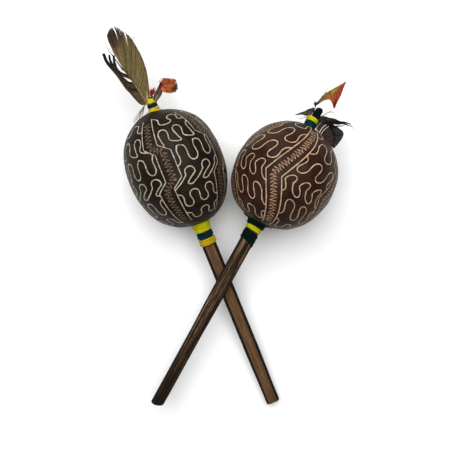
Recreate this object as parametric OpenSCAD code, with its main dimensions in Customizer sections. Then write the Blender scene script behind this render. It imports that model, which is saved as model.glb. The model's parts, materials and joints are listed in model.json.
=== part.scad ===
// Pair of carved gourd maracas lying crossed on a flat surface.
// The left one lies underneath, on its gourd and its butt end. The right one lies on its
// gourd and across the left stick. Each maraca is drawn along its own stick: Z runs from the
// butt end to the tip, X runs across, and -Y faces up, away from the surface.

/* [Left gourd] */
// Radius of the left gourd at its belly
left_gourd_r = 42; // [40:0.5:43]
// Height of the left gourd from its belly down to the neck
left_gourd_low = 52.5; // [50:0.5:54]
// Height of the left gourd from its belly up to the tip
left_gourd_high = 51.7; // [50.5:0.1:52.5]
// Squareness of the left gourd, where 2 is an ellipse
left_gourd_power = 2.18; // [2:0.02:2.4]
// Distance from the left butt end to the left gourd's belly
left_belly_z = 231.5; // [231:0.1:232]

/* [Right gourd] */
// Radius of the right gourd at its belly
right_gourd_r = 43.8; // [42:0.1:44.5]
// Height of the right gourd from its belly down to the neck
right_gourd_low = 49; // [47:0.5:50]
// Height of the right gourd from its belly up to the tip
right_gourd_high = 46.3; // [45.5:0.1:46.8]
// Squareness of the right gourd, where 2 is an ellipse
right_gourd_power = 2.07; // [2:0.01:2.3]
// Distance from the right butt end to the right gourd's belly
right_belly_z = 230.6; // [230:0.1:231]

/* [Gourd shells] */
// Wall thickness of both dried gourds
shell = 3; // [2:0.5:4]

/* [Sticks] */
// Width of the left split palm stick
slat_w = 13; // [12:0.5:14]
// Width of the left stick at its butt end
slat_butt_w = 12; // [11:0.5:12]
// Thickness of the left split palm stick
slat_t = 9; // [9:0.2:10]
// Width of the left stick's cut corners
slat_chamfer = 2.2; // [1:0.2:2.6]
// Radius of the right round stick over its grip stretch
grip_r = 5.55; // [5:0.05:5.8]
// Length of the right stick's grip stretch, from the butt end
grip_l = 70; // [40:5:90]
// Radius of the right round stick above its grip stretch
round_r = 6.15; // [5.9:0.05:6.4]
// Radius of both sticks where they pass through the gourds
spindle_r = 4.5; // [3.5:0.1:4.5]

/* [Crossing] */
// Lean of the left maraca to the left, in degrees
left_lean = 21.86; // [18:0.01:26]
// Lean of the right maraca to the right, in degrees
right_lean = 28.71; // [26:0.01:34]
// Distance from the left butt end to the crossing
left_cross_z = 122.7; // [115:0.1:128]
// Distance from the right butt end to the crossing
right_cross_z = 124; // [118:0.1:130]
// Clear gap between the two sticks at the crossing
cross_gap = 0.5; // [0.4:0.1:1]

/* [Thread bands] */
// Radius of the left neck's thread bands
left_neck_r = 7.4; // [7:0.1:8]
// Radius of the right neck's thread bands
right_neck_r = 7; // [6.8:0.1:7.6]
// Radius of the flare where the left neck meets its gourd
left_flare_r = 8.8; // [8:0.1:10]
// Radius of the flare where the right neck meets its gourd
right_flare_r = 11; // [8:0.1:12]
// Radius of the lowest thread band on both tips
tip_band_r = 5.3; // [5:0.1:5.6]

/* [Feathers] */
// Thickness of each feather's blade
blade_t = 0.6; // [0.4:0.1:1]
// Thickness of the left maraca's feather quills
left_quill_d = 0.9; // [0.6:0.1:0.9]
// Thickness of the right maraca's feather quills
right_quill_d = 1.1; // [0.8:0.1:1.1]

/* [Seeds] */
// Radius of each loose seed
seed_r = 2.7; // [2:0.1:2.8]
// Seeds in each row
seeds_per_row = 5; // [3:1:7]
// Distance between rows along the gourd
seed_pitch = 6.2; // [6:0.1:7]

/* [Hidden] */
$fn = 96;
SEED_ROWS = 5;

// Where the sticks cross, seen from above, with the origin under the middle of the pair.
CROSS_XY = [-4.6, -49.6];
FIT = 0.05;
OUTLINE_STEPS = 36;
SETTLE_ROUNDS = 12;

// Stretches along each stick, from its butt end.
left_shoulder_z = 158.2;
left_thread_mid_z = 165.4;
left_thread_high_z = 170.9;
left_taper_z = 268;
left_top_z = left_belly_z + left_gourd_high;
left_tip_mid_z = 285.5;
left_quill_exit_z = 289;
left_end_z = 293.5;
left_tip_r = 2.6;
left_end_r = 1.8;
left_tip_mid_r = 4.4;
left_end_band_r = 2.5;

right_thread_low_z = 163.5;
right_thread_mid_z = 174.4;
right_thread_high_z = 180;
right_taper_z = 262;
right_top_z = right_belly_z + right_gourd_high;
right_tip_mid_z = 281.8;
right_quill_exit_z = 286;
right_knob_z = 294.4;
right_tip_r = 3.5;
right_peg_r = 2.4;
right_knob_r = 3.4;

// Holes in the gourds, and the resin that beds the stick in each of them.
HOLE_GAP = 0.7;
neck_hole_r = spindle_r + HOLE_GAP;
left_tip_hole_r = left_tip_r + HOLE_GAP;
right_tip_hole_r = right_tip_r + HOLE_GAP;
BEAD_W = 2.3;
BEAD_H = 2.5;

// Height of a gourd's wall above its belly at radius r, and its radius at height z.
function wall_z(r, r_max, h, power) = h * pow(1 - pow(r / r_max, power), 1 / power);
function wall_r(z, r_max, h, power) = r_max * pow(1 - pow(abs(z) / h, power), 1 / power);

// Half of a gourd's outline, from its lower hole to its upper hole, about the belly.
function gourd_wall(r_max, low, high, power, low_hole, high_hole) =
    let (a = -acos(pow(low_hole / r_max, power / 2)))
    let (b = acos(pow(high_hole / r_max, power / 2)))
    [for (i = [0:OUTLINE_STEPS])
        let (t = a + (b - a) * i / OUTLINE_STEPS)
        let (h = t < 0 ? -low : high)
        [r_max * pow(cos(t), 2 / power), h * pow(abs(sin(t)), 2 / power)]];

left_wall = gourd_wall(left_gourd_r, left_gourd_low, left_gourd_high, left_gourd_power,
                       neck_hole_r, left_tip_hole_r);
right_wall = gourd_wall(right_gourd_r, right_gourd_low, right_gourd_high, right_gourd_power,
                        neck_hole_r, right_tip_hole_r);

// How far a gourd reaches below its own centre when its stick rises by tilt degrees.
function reach_below(wall, tilt) = max([for (p = wall) p.x * cos(tilt) - p.y * sin(tilt)]);

// The tilt at which a gourd and a second support both carry the maraca.
function settled_tilt(wall, support_h, span, tilt, rounds) =
    rounds == 0 ? tilt
    : settled_tilt(wall, support_h, span,
                   asin((reach_below(wall, tilt) - support_h) / span), rounds - 1);

left_tilt = settled_tilt(left_wall, slat_t / 2 * cos(9.5), left_belly_z, 9.5, SETTLE_ROUNDS);
left_butt_h = slat_t / 2 * cos(left_tilt);
left_cross_h = left_butt_h + left_cross_z * sin(left_tilt);
right_cross_h = left_cross_h + (slat_t / 2 + round_r + cross_gap) / cos(left_tilt);
right_tilt = settled_tilt(right_wall, right_cross_h, right_belly_z - right_cross_z, 5,
                          SETTLE_ROUNDS);
right_butt_h = right_cross_h - right_cross_z * sin(right_tilt);

left_run = left_cross_z * cos(left_tilt);
right_run = right_cross_z * cos(right_tilt);
left_butt = [CROSS_XY.x + left_run * sin(left_lean),
             CROSS_XY.y - left_run * cos(left_lean),
             left_butt_h];
right_butt = [CROSS_XY.x - right_run * sin(right_lean),
              CROSS_XY.y - right_run * cos(right_lean),
              right_butt_h];

// Outlines of the feathers' blades, [across, along], from the point where the quills leave
// the thread.
LONG_FEATHER = [
    [-3.6, 0.3], [-2.8, 0.3], [-2.8, 4.9], [0.5, 8], [2.5, 12.5], [5, 22], [6.8, 31],
    [6.9, 40], [5.8, 50], [2.5, 60.5], [-0.5, 64.5], [-5, 69.5], [-10, 68.5], [-13, 65],
    [-13.6, 58], [-13.2, 51], [-11.5, 41], [-10.3, 31], [-13.5, 38], [-16, 46.5],
    [-18, 45], [-21, 52], [-22, 49], [-21.8, 44], [-19, 35.5], [-17, 26], [-15, 17],
    [-12, 8], [-8, 2.5], [-4.5, 0.8]
];
LEFT_ORANGE_FEATHER = [
    [2.7, 0.3], [3.6, 0.3], [7, 2.5], [12.2, 5.5], [19.6, 1.8], [24, 3.5], [26, 6.5],
    [26, 12], [19, 15.3], [14.5, 13.5], [11.8, 10], [8, 7], [5, 4.6], [2.8, 2]
];
RED_TUFT = [
    [1.7, 0.3], [2.6, 0.3], [4.4, 6], [6.6, 7.5], [6.4, 10], [4.6, 11], [2.8, 10], [2.3, 6]
];
RIGHT_ORANGE_FEATHER = [
    [-4.4, 0.2], [-3.5, 0.2], [-3.5, 7], [-3.7, 10], [-2.2, 12.5], [-0.6, 15.2],
    [1.8, 17.8], [5, 19.6], [6.5, 18.7], [8.9, 15.8], [10.9, 14.6], [10.4, 20.5],
    [10.3, 26.4], [9.4, 32.2], [8.6, 38.7], [3.6, 31], [0, 25.2], [-2.3, 21],
    [-3.5, 15.8], [-4.6, 10]
];
OLIVE_FEATHER = [
    [-3.5, 0.2], [-3.5, 6.2], [-5.5, 4.5], [-8.2, 2.8], [-10, 0], [-12.9, -3.1],
    [-15.8, -6.6], [-11.1, -4], [-5.7, -1.3], [-5.6, 0.2]
];
FORKED_FEATHER = [
    [3.6, 0.2], [5.6, 0.2], [10, -0.5], [16.5, -1], [18.9, 1.6], [21.2, 5.2], [25.9, 7.2],
    [31.2, 7.5], [29.4, 9.3], [24.7, 8.4], [20, 6.6], [15.3, 6.4], [10.6, 4.6], [4.7, 3.4],
    [3.6, 3]
];
ROUND_FEATHER = [
    [3.5, 0.2], [5.7, 0.2], [5.7, -6.5], [8, -8.6], [14, -10.2], [20, -12.6], [26.5, -15.5],
    [28.3, -9], [28.6, -3], [27, 0.3], [23, 1], [17, 0.4], [12, 1], [3.5, 1.6]
];

// Places of the quills, [across, back], and the fine strands' routes, [across, back, along].
LONG_QUILL = [-3.05, 0.6];
LEFT_ORANGE_QUILL = [3, -0.85];
RED_QUILL = [2.1, 2.3];
RIGHT_ORANGE_QUILL = [-3.9, 1.4];
OLIVE_QUILL = [-4, -1.1];
FORKED_QUILL = [4.1, -0.5];
ROUND_QUILL = [3.7, 1.9];
STRAND_R = 0.35;
LEFT_STRANDS = [
    [[-2.2, -2.2, -3], [-2.2, -2.2, 0.6], [-6, -2.7, 0.5], [-13, -3, -4.6], [-19.6, -3, -9.2]],
    [[-1.4, -2.8, -3], [-1.4, -2.8, 0.6], [-6, -3.8, 0.4], [-11, -4, -3], [-17.2, -4, -8.2]],
    [[-2.8, -1.4, -3], [-2.8, -1.4, 0.6], [-7, -1.6, 0.4], [-14.4, -1.4, -6.8]]
];
RIGHT_WISPS = [
    [[2.9, -3, -3], [2.9, -3, 0.6], [5.3, -2.9, 4], [8.3, -2.9, 8.7], [12.1, -2.9, 10.8]],
    [[-2.9, -3, -3], [-2.9, -3, 0.6], [-4.6, -2.8, 9], [-7.6, -3, 12.2]]
];

module in_left() {
    translate(left_butt)
        rotate([left_tilt - 90, 0, left_lean])
            children();
}

module in_right() {
    translate(right_butt)
        rotate([right_tilt - 90, 0, -right_lean])
            children();
}

// A hollow gourd, open only where the stick passes through.
module gourd_shell(r_max, low, high, power, low_hole, high_hole) {
    outer = gourd_wall(r_max, low, high, power, low_hole, high_hole);
    inner = gourd_wall(r_max - shell, low - shell, high - shell, power, low_hole, high_hole);
    steps = len(inner) - 1;
    rotate_extrude()
        polygon(concat(outer, [for (i = [0:steps]) inner[steps - i]]));
}

// Resin in the hole round the stick, with a bead on the inside of the wall. The direction is
// 1 where the cavity lies above the hole and -1 where it lies below.
module resin_bed(stick_r, hole_r, outer_z, wall_inner_z, direction) {
    bead_z = wall_inner_z + direction * FIT;
    rotate_extrude()
        polygon([
            [stick_r + FIT, outer_z],
            [hole_r - FIT, outer_z],
            [hole_r - FIT, bead_z],
            [hole_r + BEAD_W, bead_z],
            [stick_r + FIT, bead_z + direction * BEAD_H]
        ]);
}

// A band of wound thread: stations are [height, outer radius].
module thread_band(inner_low_r, inner_high_r, stations) {
    last = len(stations) - 1;
    rotate_extrude()
        polygon(concat(
            [[inner_low_r, stations[0][0]]],
            [for (s = stations) [s[1], s[0]]],
            [[inner_high_r, stations[last][0]]]
        ));
}

// A feather tied on by its quill. The blade is a thin plate across the stick.
module feather(outline, quill, quill_d, foot_z, exit_z) {
    translate([quill.x, quill.y, foot_z])
        cylinder(h = exit_z + 1 - foot_z, d = quill_d, $fn = 32);
    translate([0, quill.y + blade_t / 2, exit_z])
        rotate([90, 0, 0])
            linear_extrude(height = blade_t)
                polygon(outline);
}

// Fine strands along hand-set routes.
module strands(routes, exit_z) {
    for (route = routes)
        for (i = [1:len(route) - 1])
            hull() {
                translate(route[i - 1] + [0, 0, exit_z])
                    sphere(STRAND_R, $fn = 8);
                translate(route[i] + [0, 0, exit_z])
                    sphere(STRAND_R, $fn = 8);
            }
}

// One row of loose seeds side by side on the lowest part of the wall.
module seed_row(row, belly_z, r_max, high, power) {
    z = (row - (SEED_ROWS + 1) / 2) * seed_pitch;
    wall_gap = 0.4;
    ring_r = wall_r(z, r_max - shell, high - shell, power) - seed_r - wall_gap;
    step = 2 * asin((seed_r + wall_gap / 2) / ring_r);
    for (i = [1:seeds_per_row])
        rotate([0, 0, 90 + step * (i - (seeds_per_row + 1) / 2)])
            translate([ring_r, 0, belly_z + z])
                sphere(seed_r, $fn = 32);
}

module left_gourd() {
    color([0.13, 0.11, 0.11])
        in_left()
            translate([0, 0, left_belly_z])
                gourd_shell(left_gourd_r, left_gourd_low, left_gourd_high, left_gourd_power,
                            neck_hole_r, left_tip_hole_r);
}

module left_stick() {
    square_end_z = left_shoulder_z;
    taper_from = 15;
    taper_to = 50;
    color([0.42, 0.29, 0.2])
        in_left() {
            intersection() {
                translate([0, slat_t / 2, 0])
                    rotate([90, 0, 0])
                        linear_extrude(height = slat_t)
                            polygon([
                                [-slat_butt_w / 2, 0], [slat_butt_w / 2, 0],
                                [slat_butt_w / 2, taper_from], [slat_w / 2, taper_to],
                                [slat_w / 2, square_end_z], [-slat_w / 2, square_end_z],
                                [-slat_w / 2, taper_to], [-slat_butt_w / 2, taper_from]
                            ]);
                translate([0, 0, -1])
                    linear_extrude(height = square_end_z + 2)
                        slat_section();
            }
            rotate_extrude()
                polygon([
                    [0, square_end_z - 5], [slat_t / 2 - 0.1, square_end_z - 5],
                    [slat_t / 2 - 0.1, square_end_z + 1], [spindle_r - 0.1, square_end_z + 3],
                    [spindle_r - 0.1, left_taper_z], [left_tip_r, left_top_z - 4],
                    [left_tip_r, left_quill_exit_z], [left_end_r, left_quill_exit_z],
                    [left_end_r, left_end_z - 0.4], [0, left_end_z - 0.4]
                ]);
        }
}

module slat_section() {
    x = slat_w / 2;
    y = slat_t / 2;
    c = slat_chamfer;
    polygon([
        [-x, -y + c], [-x + c, -y], [x - c, -y], [x, -y + c],
        [x, y - c], [x - c, y], [-x + c, y], [-x, y - c]
    ]);
}

module left_neck_resin() {
    hole_z = left_belly_z - wall_z(neck_hole_r, left_gourd_r, left_gourd_low, left_gourd_power);
    bead_floor = left_belly_z - wall_z(neck_hole_r + BEAD_W, left_gourd_r - shell,
                                       left_gourd_low - shell, left_gourd_power);
    color([0.1, 0.07, 0.05])
        in_left()
            resin_bed(spindle_r, neck_hole_r, hole_z, bead_floor, 1);
}

module left_tip_resin() {
    hole_z = left_belly_z + wall_z(left_tip_hole_r, left_gourd_r, left_gourd_high,
                                   left_gourd_power);
    bead_roof = left_belly_z + wall_z(left_tip_hole_r + BEAD_W, left_gourd_r - shell,
                                      left_gourd_high - shell, left_gourd_power);
    // The stick is already tapering inside the bead.
    bead_stick_r = left_tip_r + 0.5;
    color([0.1, 0.07, 0.05])
        in_left()
            resin_bed(bead_stick_r, left_tip_hole_r, hole_z, bead_roof, -1);
}

module left_neck_thread_low() {
    color([0.84, 0.69, 0.13])
        in_left()
            thread_band(slat_t / 2, slat_t / 2, [
                [left_shoulder_z + FIT, left_neck_r - 0.9],
                [left_shoulder_z + 1.8, left_neck_r],
                [left_thread_mid_z, left_neck_r]
            ]);
}

module left_neck_thread_mid() {
    color([0.02, 0.2, 0.32])
        in_left()
            thread_band(slat_t / 2, slat_t / 2, [
                [left_thread_mid_z + FIT, left_neck_r - 0.1],
                [left_thread_high_z, left_neck_r - 0.1]
            ]);
}

module left_neck_thread_high() {
    top_z = left_belly_z - wall_z(slat_t / 2, left_gourd_r, left_gourd_low, left_gourd_power);
    flare_z = left_belly_z - wall_z(left_flare_r, left_gourd_r, left_gourd_low,
                                    left_gourd_power);
    color([0.88, 0.83, 0.08])
        in_left()
            thread_band(slat_t / 2, slat_t / 2, [
                [left_thread_high_z + FIT, left_neck_r],
                [left_thread_high_z + 4, left_neck_r + 0.1],
                [flare_z - 2, left_flare_r - 0.8],
                [top_z - FIT, left_flare_r]
            ]);
}

module left_tip_thread_low() {
    foot_z = left_belly_z + wall_z(left_tip_r, left_gourd_r, left_gourd_high,
                                   left_gourd_power);
    band_inner_r = left_tip_r + left_quill_d + 2 * FIT;
    color([0.86, 0.74, 0.16])
        in_left()
            thread_band(band_inner_r, band_inner_r, [
                [foot_z + FIT, tip_band_r],
                [left_tip_mid_z, tip_band_r - 0.2]
            ]);
}

module left_tip_thread_mid() {
    band_inner_r = left_tip_r + left_quill_d + 2 * FIT;
    color([0.02, 0.24, 0.28])
        in_left()
            thread_band(band_inner_r, band_inner_r, [
                [left_tip_mid_z + FIT, left_tip_mid_r + 0.3],
                [left_quill_exit_z, left_tip_mid_r]
            ]);
}

module left_tip_thread_high() {
    color([0.88, 0.83, 0.08])
        in_left()
            thread_band(left_end_r + FIT, left_end_r + FIT, [
                [left_quill_exit_z + FIT, left_end_band_r],
                [left_end_z - 0.6, left_end_band_r],
                [left_end_z, left_end_band_r - 0.4]
            ]);
}

module left_long_feather() {
    color([0.36, 0.31, 0.2])
        in_left()
            feather(LONG_FEATHER, LONG_QUILL, left_quill_d, left_top_z + 0.3,
                    left_quill_exit_z);
}

module left_orange_feather() {
    color([0.75, 0.33, 0.12])
        in_left()
            feather(LEFT_ORANGE_FEATHER, LEFT_ORANGE_QUILL, left_quill_d, left_top_z + 0.3,
                    left_quill_exit_z);
}

module left_red_tuft() {
    color([0.6, 0.15, 0.15])
        in_left()
            feather(RED_TUFT, RED_QUILL, left_quill_d, left_top_z + 0.3, left_quill_exit_z);
}

module left_quill_strands() {
    color([0.8, 0.77, 0.66])
        in_left()
            strands(LEFT_STRANDS, left_quill_exit_z);
}

module left_seeds(row) {
    color([0.12, 0.08, 0.05])
        in_left()
            seed_row(row, left_belly_z, left_gourd_r, left_gourd_high, left_gourd_power);
}

module right_gourd() {
    color([0.2, 0.12, 0.09])
        in_right()
            translate([0, 0, right_belly_z])
                gourd_shell(right_gourd_r, right_gourd_low, right_gourd_high,
                            right_gourd_power, neck_hole_r, right_tip_hole_r);
}

module right_stick() {
    butt_chamfer = 0.8;
    swell_l = 40;
    shoulder_z = right_thread_high_z - 1;
    color([0.27, 0.19, 0.13])
        in_right()
            rotate_extrude()
                polygon([
                    [0, 0], [grip_r - butt_chamfer, 0], [grip_r, butt_chamfer],
                    [grip_r, grip_l], [round_r, grip_l + swell_l], [round_r, shoulder_z],
                    [spindle_r - 0.1, shoulder_z + 2], [spindle_r - 0.1, right_taper_z],
                    [right_tip_r, right_top_z - 4], [right_tip_r, right_quill_exit_z],
                    [right_peg_r, right_quill_exit_z], [right_peg_r, right_knob_z - 3],
                    [0, right_knob_z - 3]
                ]);
}

module right_neck_resin() {
    hole_z = right_belly_z - wall_z(neck_hole_r, right_gourd_r, right_gourd_low,
                                    right_gourd_power);
    bead_floor = right_belly_z - wall_z(neck_hole_r + BEAD_W, right_gourd_r - shell,
                                        right_gourd_low - shell, right_gourd_power);
    color([0.1, 0.07, 0.05])
        in_right()
            resin_bed(spindle_r, neck_hole_r, hole_z, bead_floor, 1);
}

module right_tip_resin() {
    hole_z = right_belly_z + wall_z(right_tip_hole_r, right_gourd_r, right_gourd_high,
                                    right_gourd_power);
    bead_roof = right_belly_z + wall_z(right_tip_hole_r + BEAD_W, right_gourd_r - shell,
                                       right_gourd_high - shell, right_gourd_power);
    // The stick is already tapering inside the bead.
    bead_stick_r = right_tip_r + 0.3;
    color([0.1, 0.07, 0.05])
        in_right()
            resin_bed(bead_stick_r, right_tip_hole_r, hole_z, bead_roof, -1);
}

module right_neck_thread_low() {
    color([0.02, 0.2, 0.19])
        in_right()
            thread_band(round_r + FIT, round_r + FIT, [
                [right_thread_low_z, round_r + 0.4],
                [right_thread_low_z + 1, right_neck_r - 0.1],
                [right_thread_mid_z, right_neck_r - 0.1]
            ]);
}

module right_neck_thread_mid() {
    color([0.85, 0.82, 0.1])
        in_right()
            thread_band(round_r + FIT, round_r + FIT, [
                [right_thread_mid_z + FIT, right_neck_r],
                [right_thread_high_z, right_neck_r]
            ]);
}

module right_neck_thread_high() {
    seat_r = round_r + FIT;
    seat_z = right_belly_z - wall_z(seat_r, right_gourd_r, right_gourd_low, right_gourd_power);
    mid_r = (seat_r + right_flare_r) / 2;
    mid_z = right_belly_z - wall_z(mid_r, right_gourd_r, right_gourd_low, right_gourd_power);
    rim_z = right_belly_z - wall_z(right_flare_r, right_gourd_r, right_gourd_low,
                                   right_gourd_power);
    clear = 3 * FIT;
    color([0.02, 0.16, 0.14])
        in_right()
            rotate_extrude()
                polygon([
                    [seat_r, right_thread_high_z + FIT], [right_neck_r, right_thread_high_z + FIT],
                    [right_neck_r + 0.8, rim_z - 2.4], [right_flare_r, rim_z - clear - 0.4],
                    [right_flare_r, rim_z - clear], [mid_r, mid_z - clear],
                    [seat_r, seat_z - clear]
                ]);
}

module right_tip_thread_low() {
    foot_z = right_belly_z + wall_z(right_tip_r, right_gourd_r, right_gourd_high,
                                    right_gourd_power);
    band_inner_r = right_tip_r + right_quill_d + 2 * FIT;
    color([0.02, 0.2, 0.22])
        in_right()
            thread_band(band_inner_r, band_inner_r, [
                [foot_z + FIT, tip_band_r],
                [right_tip_mid_z, tip_band_r]
            ]);
}

module right_tip_thread_mid() {
    band_inner_r = right_tip_r + right_quill_d + 2 * FIT;
    color([0.85, 0.86, 0.12])
        in_right()
            thread_band(band_inner_r, band_inner_r, [
                [right_tip_mid_z + FIT, tip_band_r + 0.1],
                [right_quill_exit_z - 1, tip_band_r],
                [right_quill_exit_z, tip_band_r - 0.2]
            ]);
}

module right_tip_thread_high() {
    peg_end_z = right_knob_z - 3 + FIT;
    color([0.02, 0.14, 0.12])
        in_right()
            rotate_extrude()
                polygon([
                    [right_peg_r + FIT, right_quill_exit_z + FIT],
                    [right_knob_r, right_quill_exit_z + FIT],
                    [right_knob_r, right_knob_z - 1.6], [right_knob_r - 0.7, right_knob_z - 0.4],
                    [right_knob_r - 1.6, right_knob_z], [0, right_knob_z],
                    [0, peg_end_z], [right_peg_r + FIT, peg_end_z]
                ]);
}

module right_orange_feather() {
    color([0.72, 0.25, 0.1])
        in_right()
            feather(RIGHT_ORANGE_FEATHER, RIGHT_ORANGE_QUILL, right_quill_d,
                    right_top_z + 0.3, right_quill_exit_z);
}

module right_olive_feather() {
    color([0.3, 0.27, 0.16])
        in_right()
            feather(OLIVE_FEATHER, OLIVE_QUILL, right_quill_d, right_top_z + 0.3,
                    right_quill_exit_z);
}

module right_forked_feather() {
    color([0.17, 0.14, 0.14])
        in_right()
            feather(FORKED_FEATHER, FORKED_QUILL, right_quill_d, right_top_z + 0.3,
                    right_quill_exit_z);
}

module right_round_feather() {
    color([0.24, 0.18, 0.15])
        in_right()
            feather(ROUND_FEATHER, ROUND_QUILL, right_quill_d, right_top_z + 0.3,
                    right_quill_exit_z);
}

module right_wisps() {
    color([0.2, 0.18, 0.16])
        in_right()
            strands(RIGHT_WISPS, right_quill_exit_z);
}

module right_seeds(row) {
    color([0.12, 0.08, 0.05])
        in_right()
            seed_row(row, right_belly_z, right_gourd_r, right_gourd_high, right_gourd_power);
}

left_gourd();
left_stick();
left_neck_resin();
left_tip_resin();
left_neck_thread_low();
left_neck_thread_mid();
left_neck_thread_high();
left_tip_thread_low();
left_tip_thread_mid();
left_tip_thread_high();
left_long_feather();
left_orange_feather();
left_red_tuft();
left_quill_strands();
right_gourd();
right_stick();
right_neck_resin();
right_tip_resin();
right_neck_thread_low();
right_neck_thread_mid();
right_neck_thread_high();
right_tip_thread_low();
right_tip_thread_mid();
right_tip_thread_high();
right_orange_feather();
right_olive_feather();
right_forked_feather();
right_round_feather();
right_wisps();
for (i = [1:SEED_ROWS]) {
    left_seeds(i);
    right_seeds(i);
}
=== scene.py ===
"""Looks for a pair of carved gourd maracas lying crossed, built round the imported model.

Each maraca has its own frame, in millimetres: x runs across it, y down towards the surface it
lies on, and z from its butt end to its tip. Angles on a gourd or a stick are degrees round the
stick: 0 faces up and 90 faces +x. Meshes are written in that frame, and each piece's matrix puts
them in place.
"""
import json
import math
import random

import bpy
import numpy as np
from mathutils import Matrix, Vector, kdtree, noise
from mathutils.bvhtree import BVHTree


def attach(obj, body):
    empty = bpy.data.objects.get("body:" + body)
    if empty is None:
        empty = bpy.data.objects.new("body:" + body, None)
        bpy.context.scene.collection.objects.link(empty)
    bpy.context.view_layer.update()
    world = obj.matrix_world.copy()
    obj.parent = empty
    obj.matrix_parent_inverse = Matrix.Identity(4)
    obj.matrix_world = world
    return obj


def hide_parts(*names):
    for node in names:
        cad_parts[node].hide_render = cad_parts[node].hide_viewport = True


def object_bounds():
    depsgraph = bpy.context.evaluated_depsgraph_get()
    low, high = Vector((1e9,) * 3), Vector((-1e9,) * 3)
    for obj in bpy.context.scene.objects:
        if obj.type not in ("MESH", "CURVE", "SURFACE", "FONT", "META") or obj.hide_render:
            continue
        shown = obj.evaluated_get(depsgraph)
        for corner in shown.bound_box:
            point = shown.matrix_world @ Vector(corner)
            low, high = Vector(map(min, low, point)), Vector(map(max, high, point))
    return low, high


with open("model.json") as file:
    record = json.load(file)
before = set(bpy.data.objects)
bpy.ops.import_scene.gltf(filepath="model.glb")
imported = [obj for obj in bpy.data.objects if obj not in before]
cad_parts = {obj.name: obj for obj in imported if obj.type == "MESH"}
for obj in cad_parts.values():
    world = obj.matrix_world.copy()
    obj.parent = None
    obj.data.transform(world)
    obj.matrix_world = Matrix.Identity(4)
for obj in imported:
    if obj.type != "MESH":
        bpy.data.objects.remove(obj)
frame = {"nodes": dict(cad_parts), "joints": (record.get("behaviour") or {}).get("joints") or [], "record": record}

CAD_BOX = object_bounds()
MM = 0.001
JOINTS = {joint["name"]: joint for joint in frame["joints"]}
MOUNTS = {mount["name"]: mount for mount in frame["record"]["mounts"]}


# ---------------------------------------------------------------- colours and curves

def srgb(red, green, blue):
    """A colour given as it looks on a screen, 0 to 255, in the linear values that shaders use."""
    def linear(value):
        share = value / 255
        return share / 12.92 if share <= 0.04045 else ((share + 0.055) / 1.055) ** 2.4
    return (linear(red), linear(green), linear(blue), 1.0)


def smooth_curve(points, spacing):
    """A Catmull-Rom curve through the points, with a sample about every spacing."""
    knots = np.array(points, float)
    padded = np.vstack([2 * knots[0] - knots[1], knots, 2 * knots[-1] - knots[-2]])
    samples = []
    for i in range(1, len(padded) - 2):
        before, start, end, after = padded[i - 1:i + 3]
        count = max(2, math.ceil(np.linalg.norm(end - start) / spacing))
        for t in np.arange(count)[:, None] / count:
            samples.append(0.5 * (2 * start + (end - before) * t
                                  + (2 * before - 5 * start + 4 * end - after) * t ** 2
                                  + (3 * start - before - 3 * end + after) * t ** 3))
    samples.append(knots[-1:])
    return np.vstack(samples)


def lengths_along(points):
    """The distance of each point from the first one, along the line."""
    steps = np.linalg.norm(np.diff(points, axis=0), axis=1)
    return np.concatenate([[0], np.cumsum(steps)])


def at_share(points, shares):
    """Points at the given shares, 0 to 1, of a line's length."""
    run = lengths_along(points)
    wanted = np.asarray(shares) * run[-1]
    return np.stack([np.interp(wanted, run, column) for column in points.T], axis=-1)


def smooth_step(value, low, high):
    """0 below low, 1 above high, and an even change in between."""
    t = np.clip((value - low) / (high - low), 0, 1)
    return t * t * (3 - 2 * t)


# ---------------------------------------------------------------- the two maracas' own frames

class Maraca:
    """One maraca's frame, worked out from its joints and its butt end.

    Its feathers leave the thread at exit_z, the top of the middle band.
    """

    def __init__(self, side):
        self.side = side
        self.body = side + "_maraca"
        swirl = JOINTS[side + "_seeds_1_swirl"]
        self.along = Vector(swirl["axis"]).normalized()
        lifted = Vector(JOINTS[side + "_seeds_3_throw"]["axis"])
        self.across = self.along.cross(lifted).normalized()
        self.down = self.along.cross(self.across)
        self.butt = Vector(MOUNTS[side + "_butt"]["pos_m"])
        self.belly = (Vector(swirl["pos_m"]) - self.butt).dot(self.along) / MM
        self.matrix = Matrix((self.across, self.down, self.along)).transposed().to_4x4()
        self.matrix.translation = self.butt
        self.exit_z = self.vertices("tip_thread_mid")[:, 2].max()

    def node(self, name):
        return frame["nodes"][self.side + "_" + name]

    def vertices(self, name):
        """A CAD node's vertices in this maraca's frame."""
        inverse = self.matrix.inverted()
        return np.array([inverse @ v.co for v in self.node(name).data.vertices]) / MM

    def tree(self, name):
        """A CAD node's surface in this maraca's frame, ready for casting rays."""
        faces = [tuple(polygon.vertices) for polygon in self.node(name).data.polygons]
        return BVHTree.FromPolygons([Vector(v) for v in self.vertices(name)], faces)


def radial(angle):
    """The outward direction at an angle round the stick."""
    turn = math.radians(angle)
    return Vector((math.sin(turn), -math.cos(turn), 0))


def radials(turns):
    """The same for many angles in radians, one row each."""
    return np.stack([np.sin(turns), -np.cos(turns), np.zeros_like(turns)], axis=-1)


def outline_normals(outline):
    """Unit (radius, height) directions that point out of an outline which runs upwards."""
    slope = np.gradient(outline, axis=0)
    slope /= np.linalg.norm(slope, axis=1)[:, None]
    return np.stack([slope[:, 1], -slope[:, 0]], axis=-1)


FAR = 200     # past every piece, in mm, to start a ray from


def outer_radius(tree, z, angle=90):
    """How far a node's outside is from the stick's axis."""
    out = radial(angle)
    hit = tree.ray_cast(Vector((0, 0, z)) + out * FAR, -out)
    return FAR - hit[3] if hit[0] is not None else 0.0


# ---------------------------------------------------------------- pieces

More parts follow.
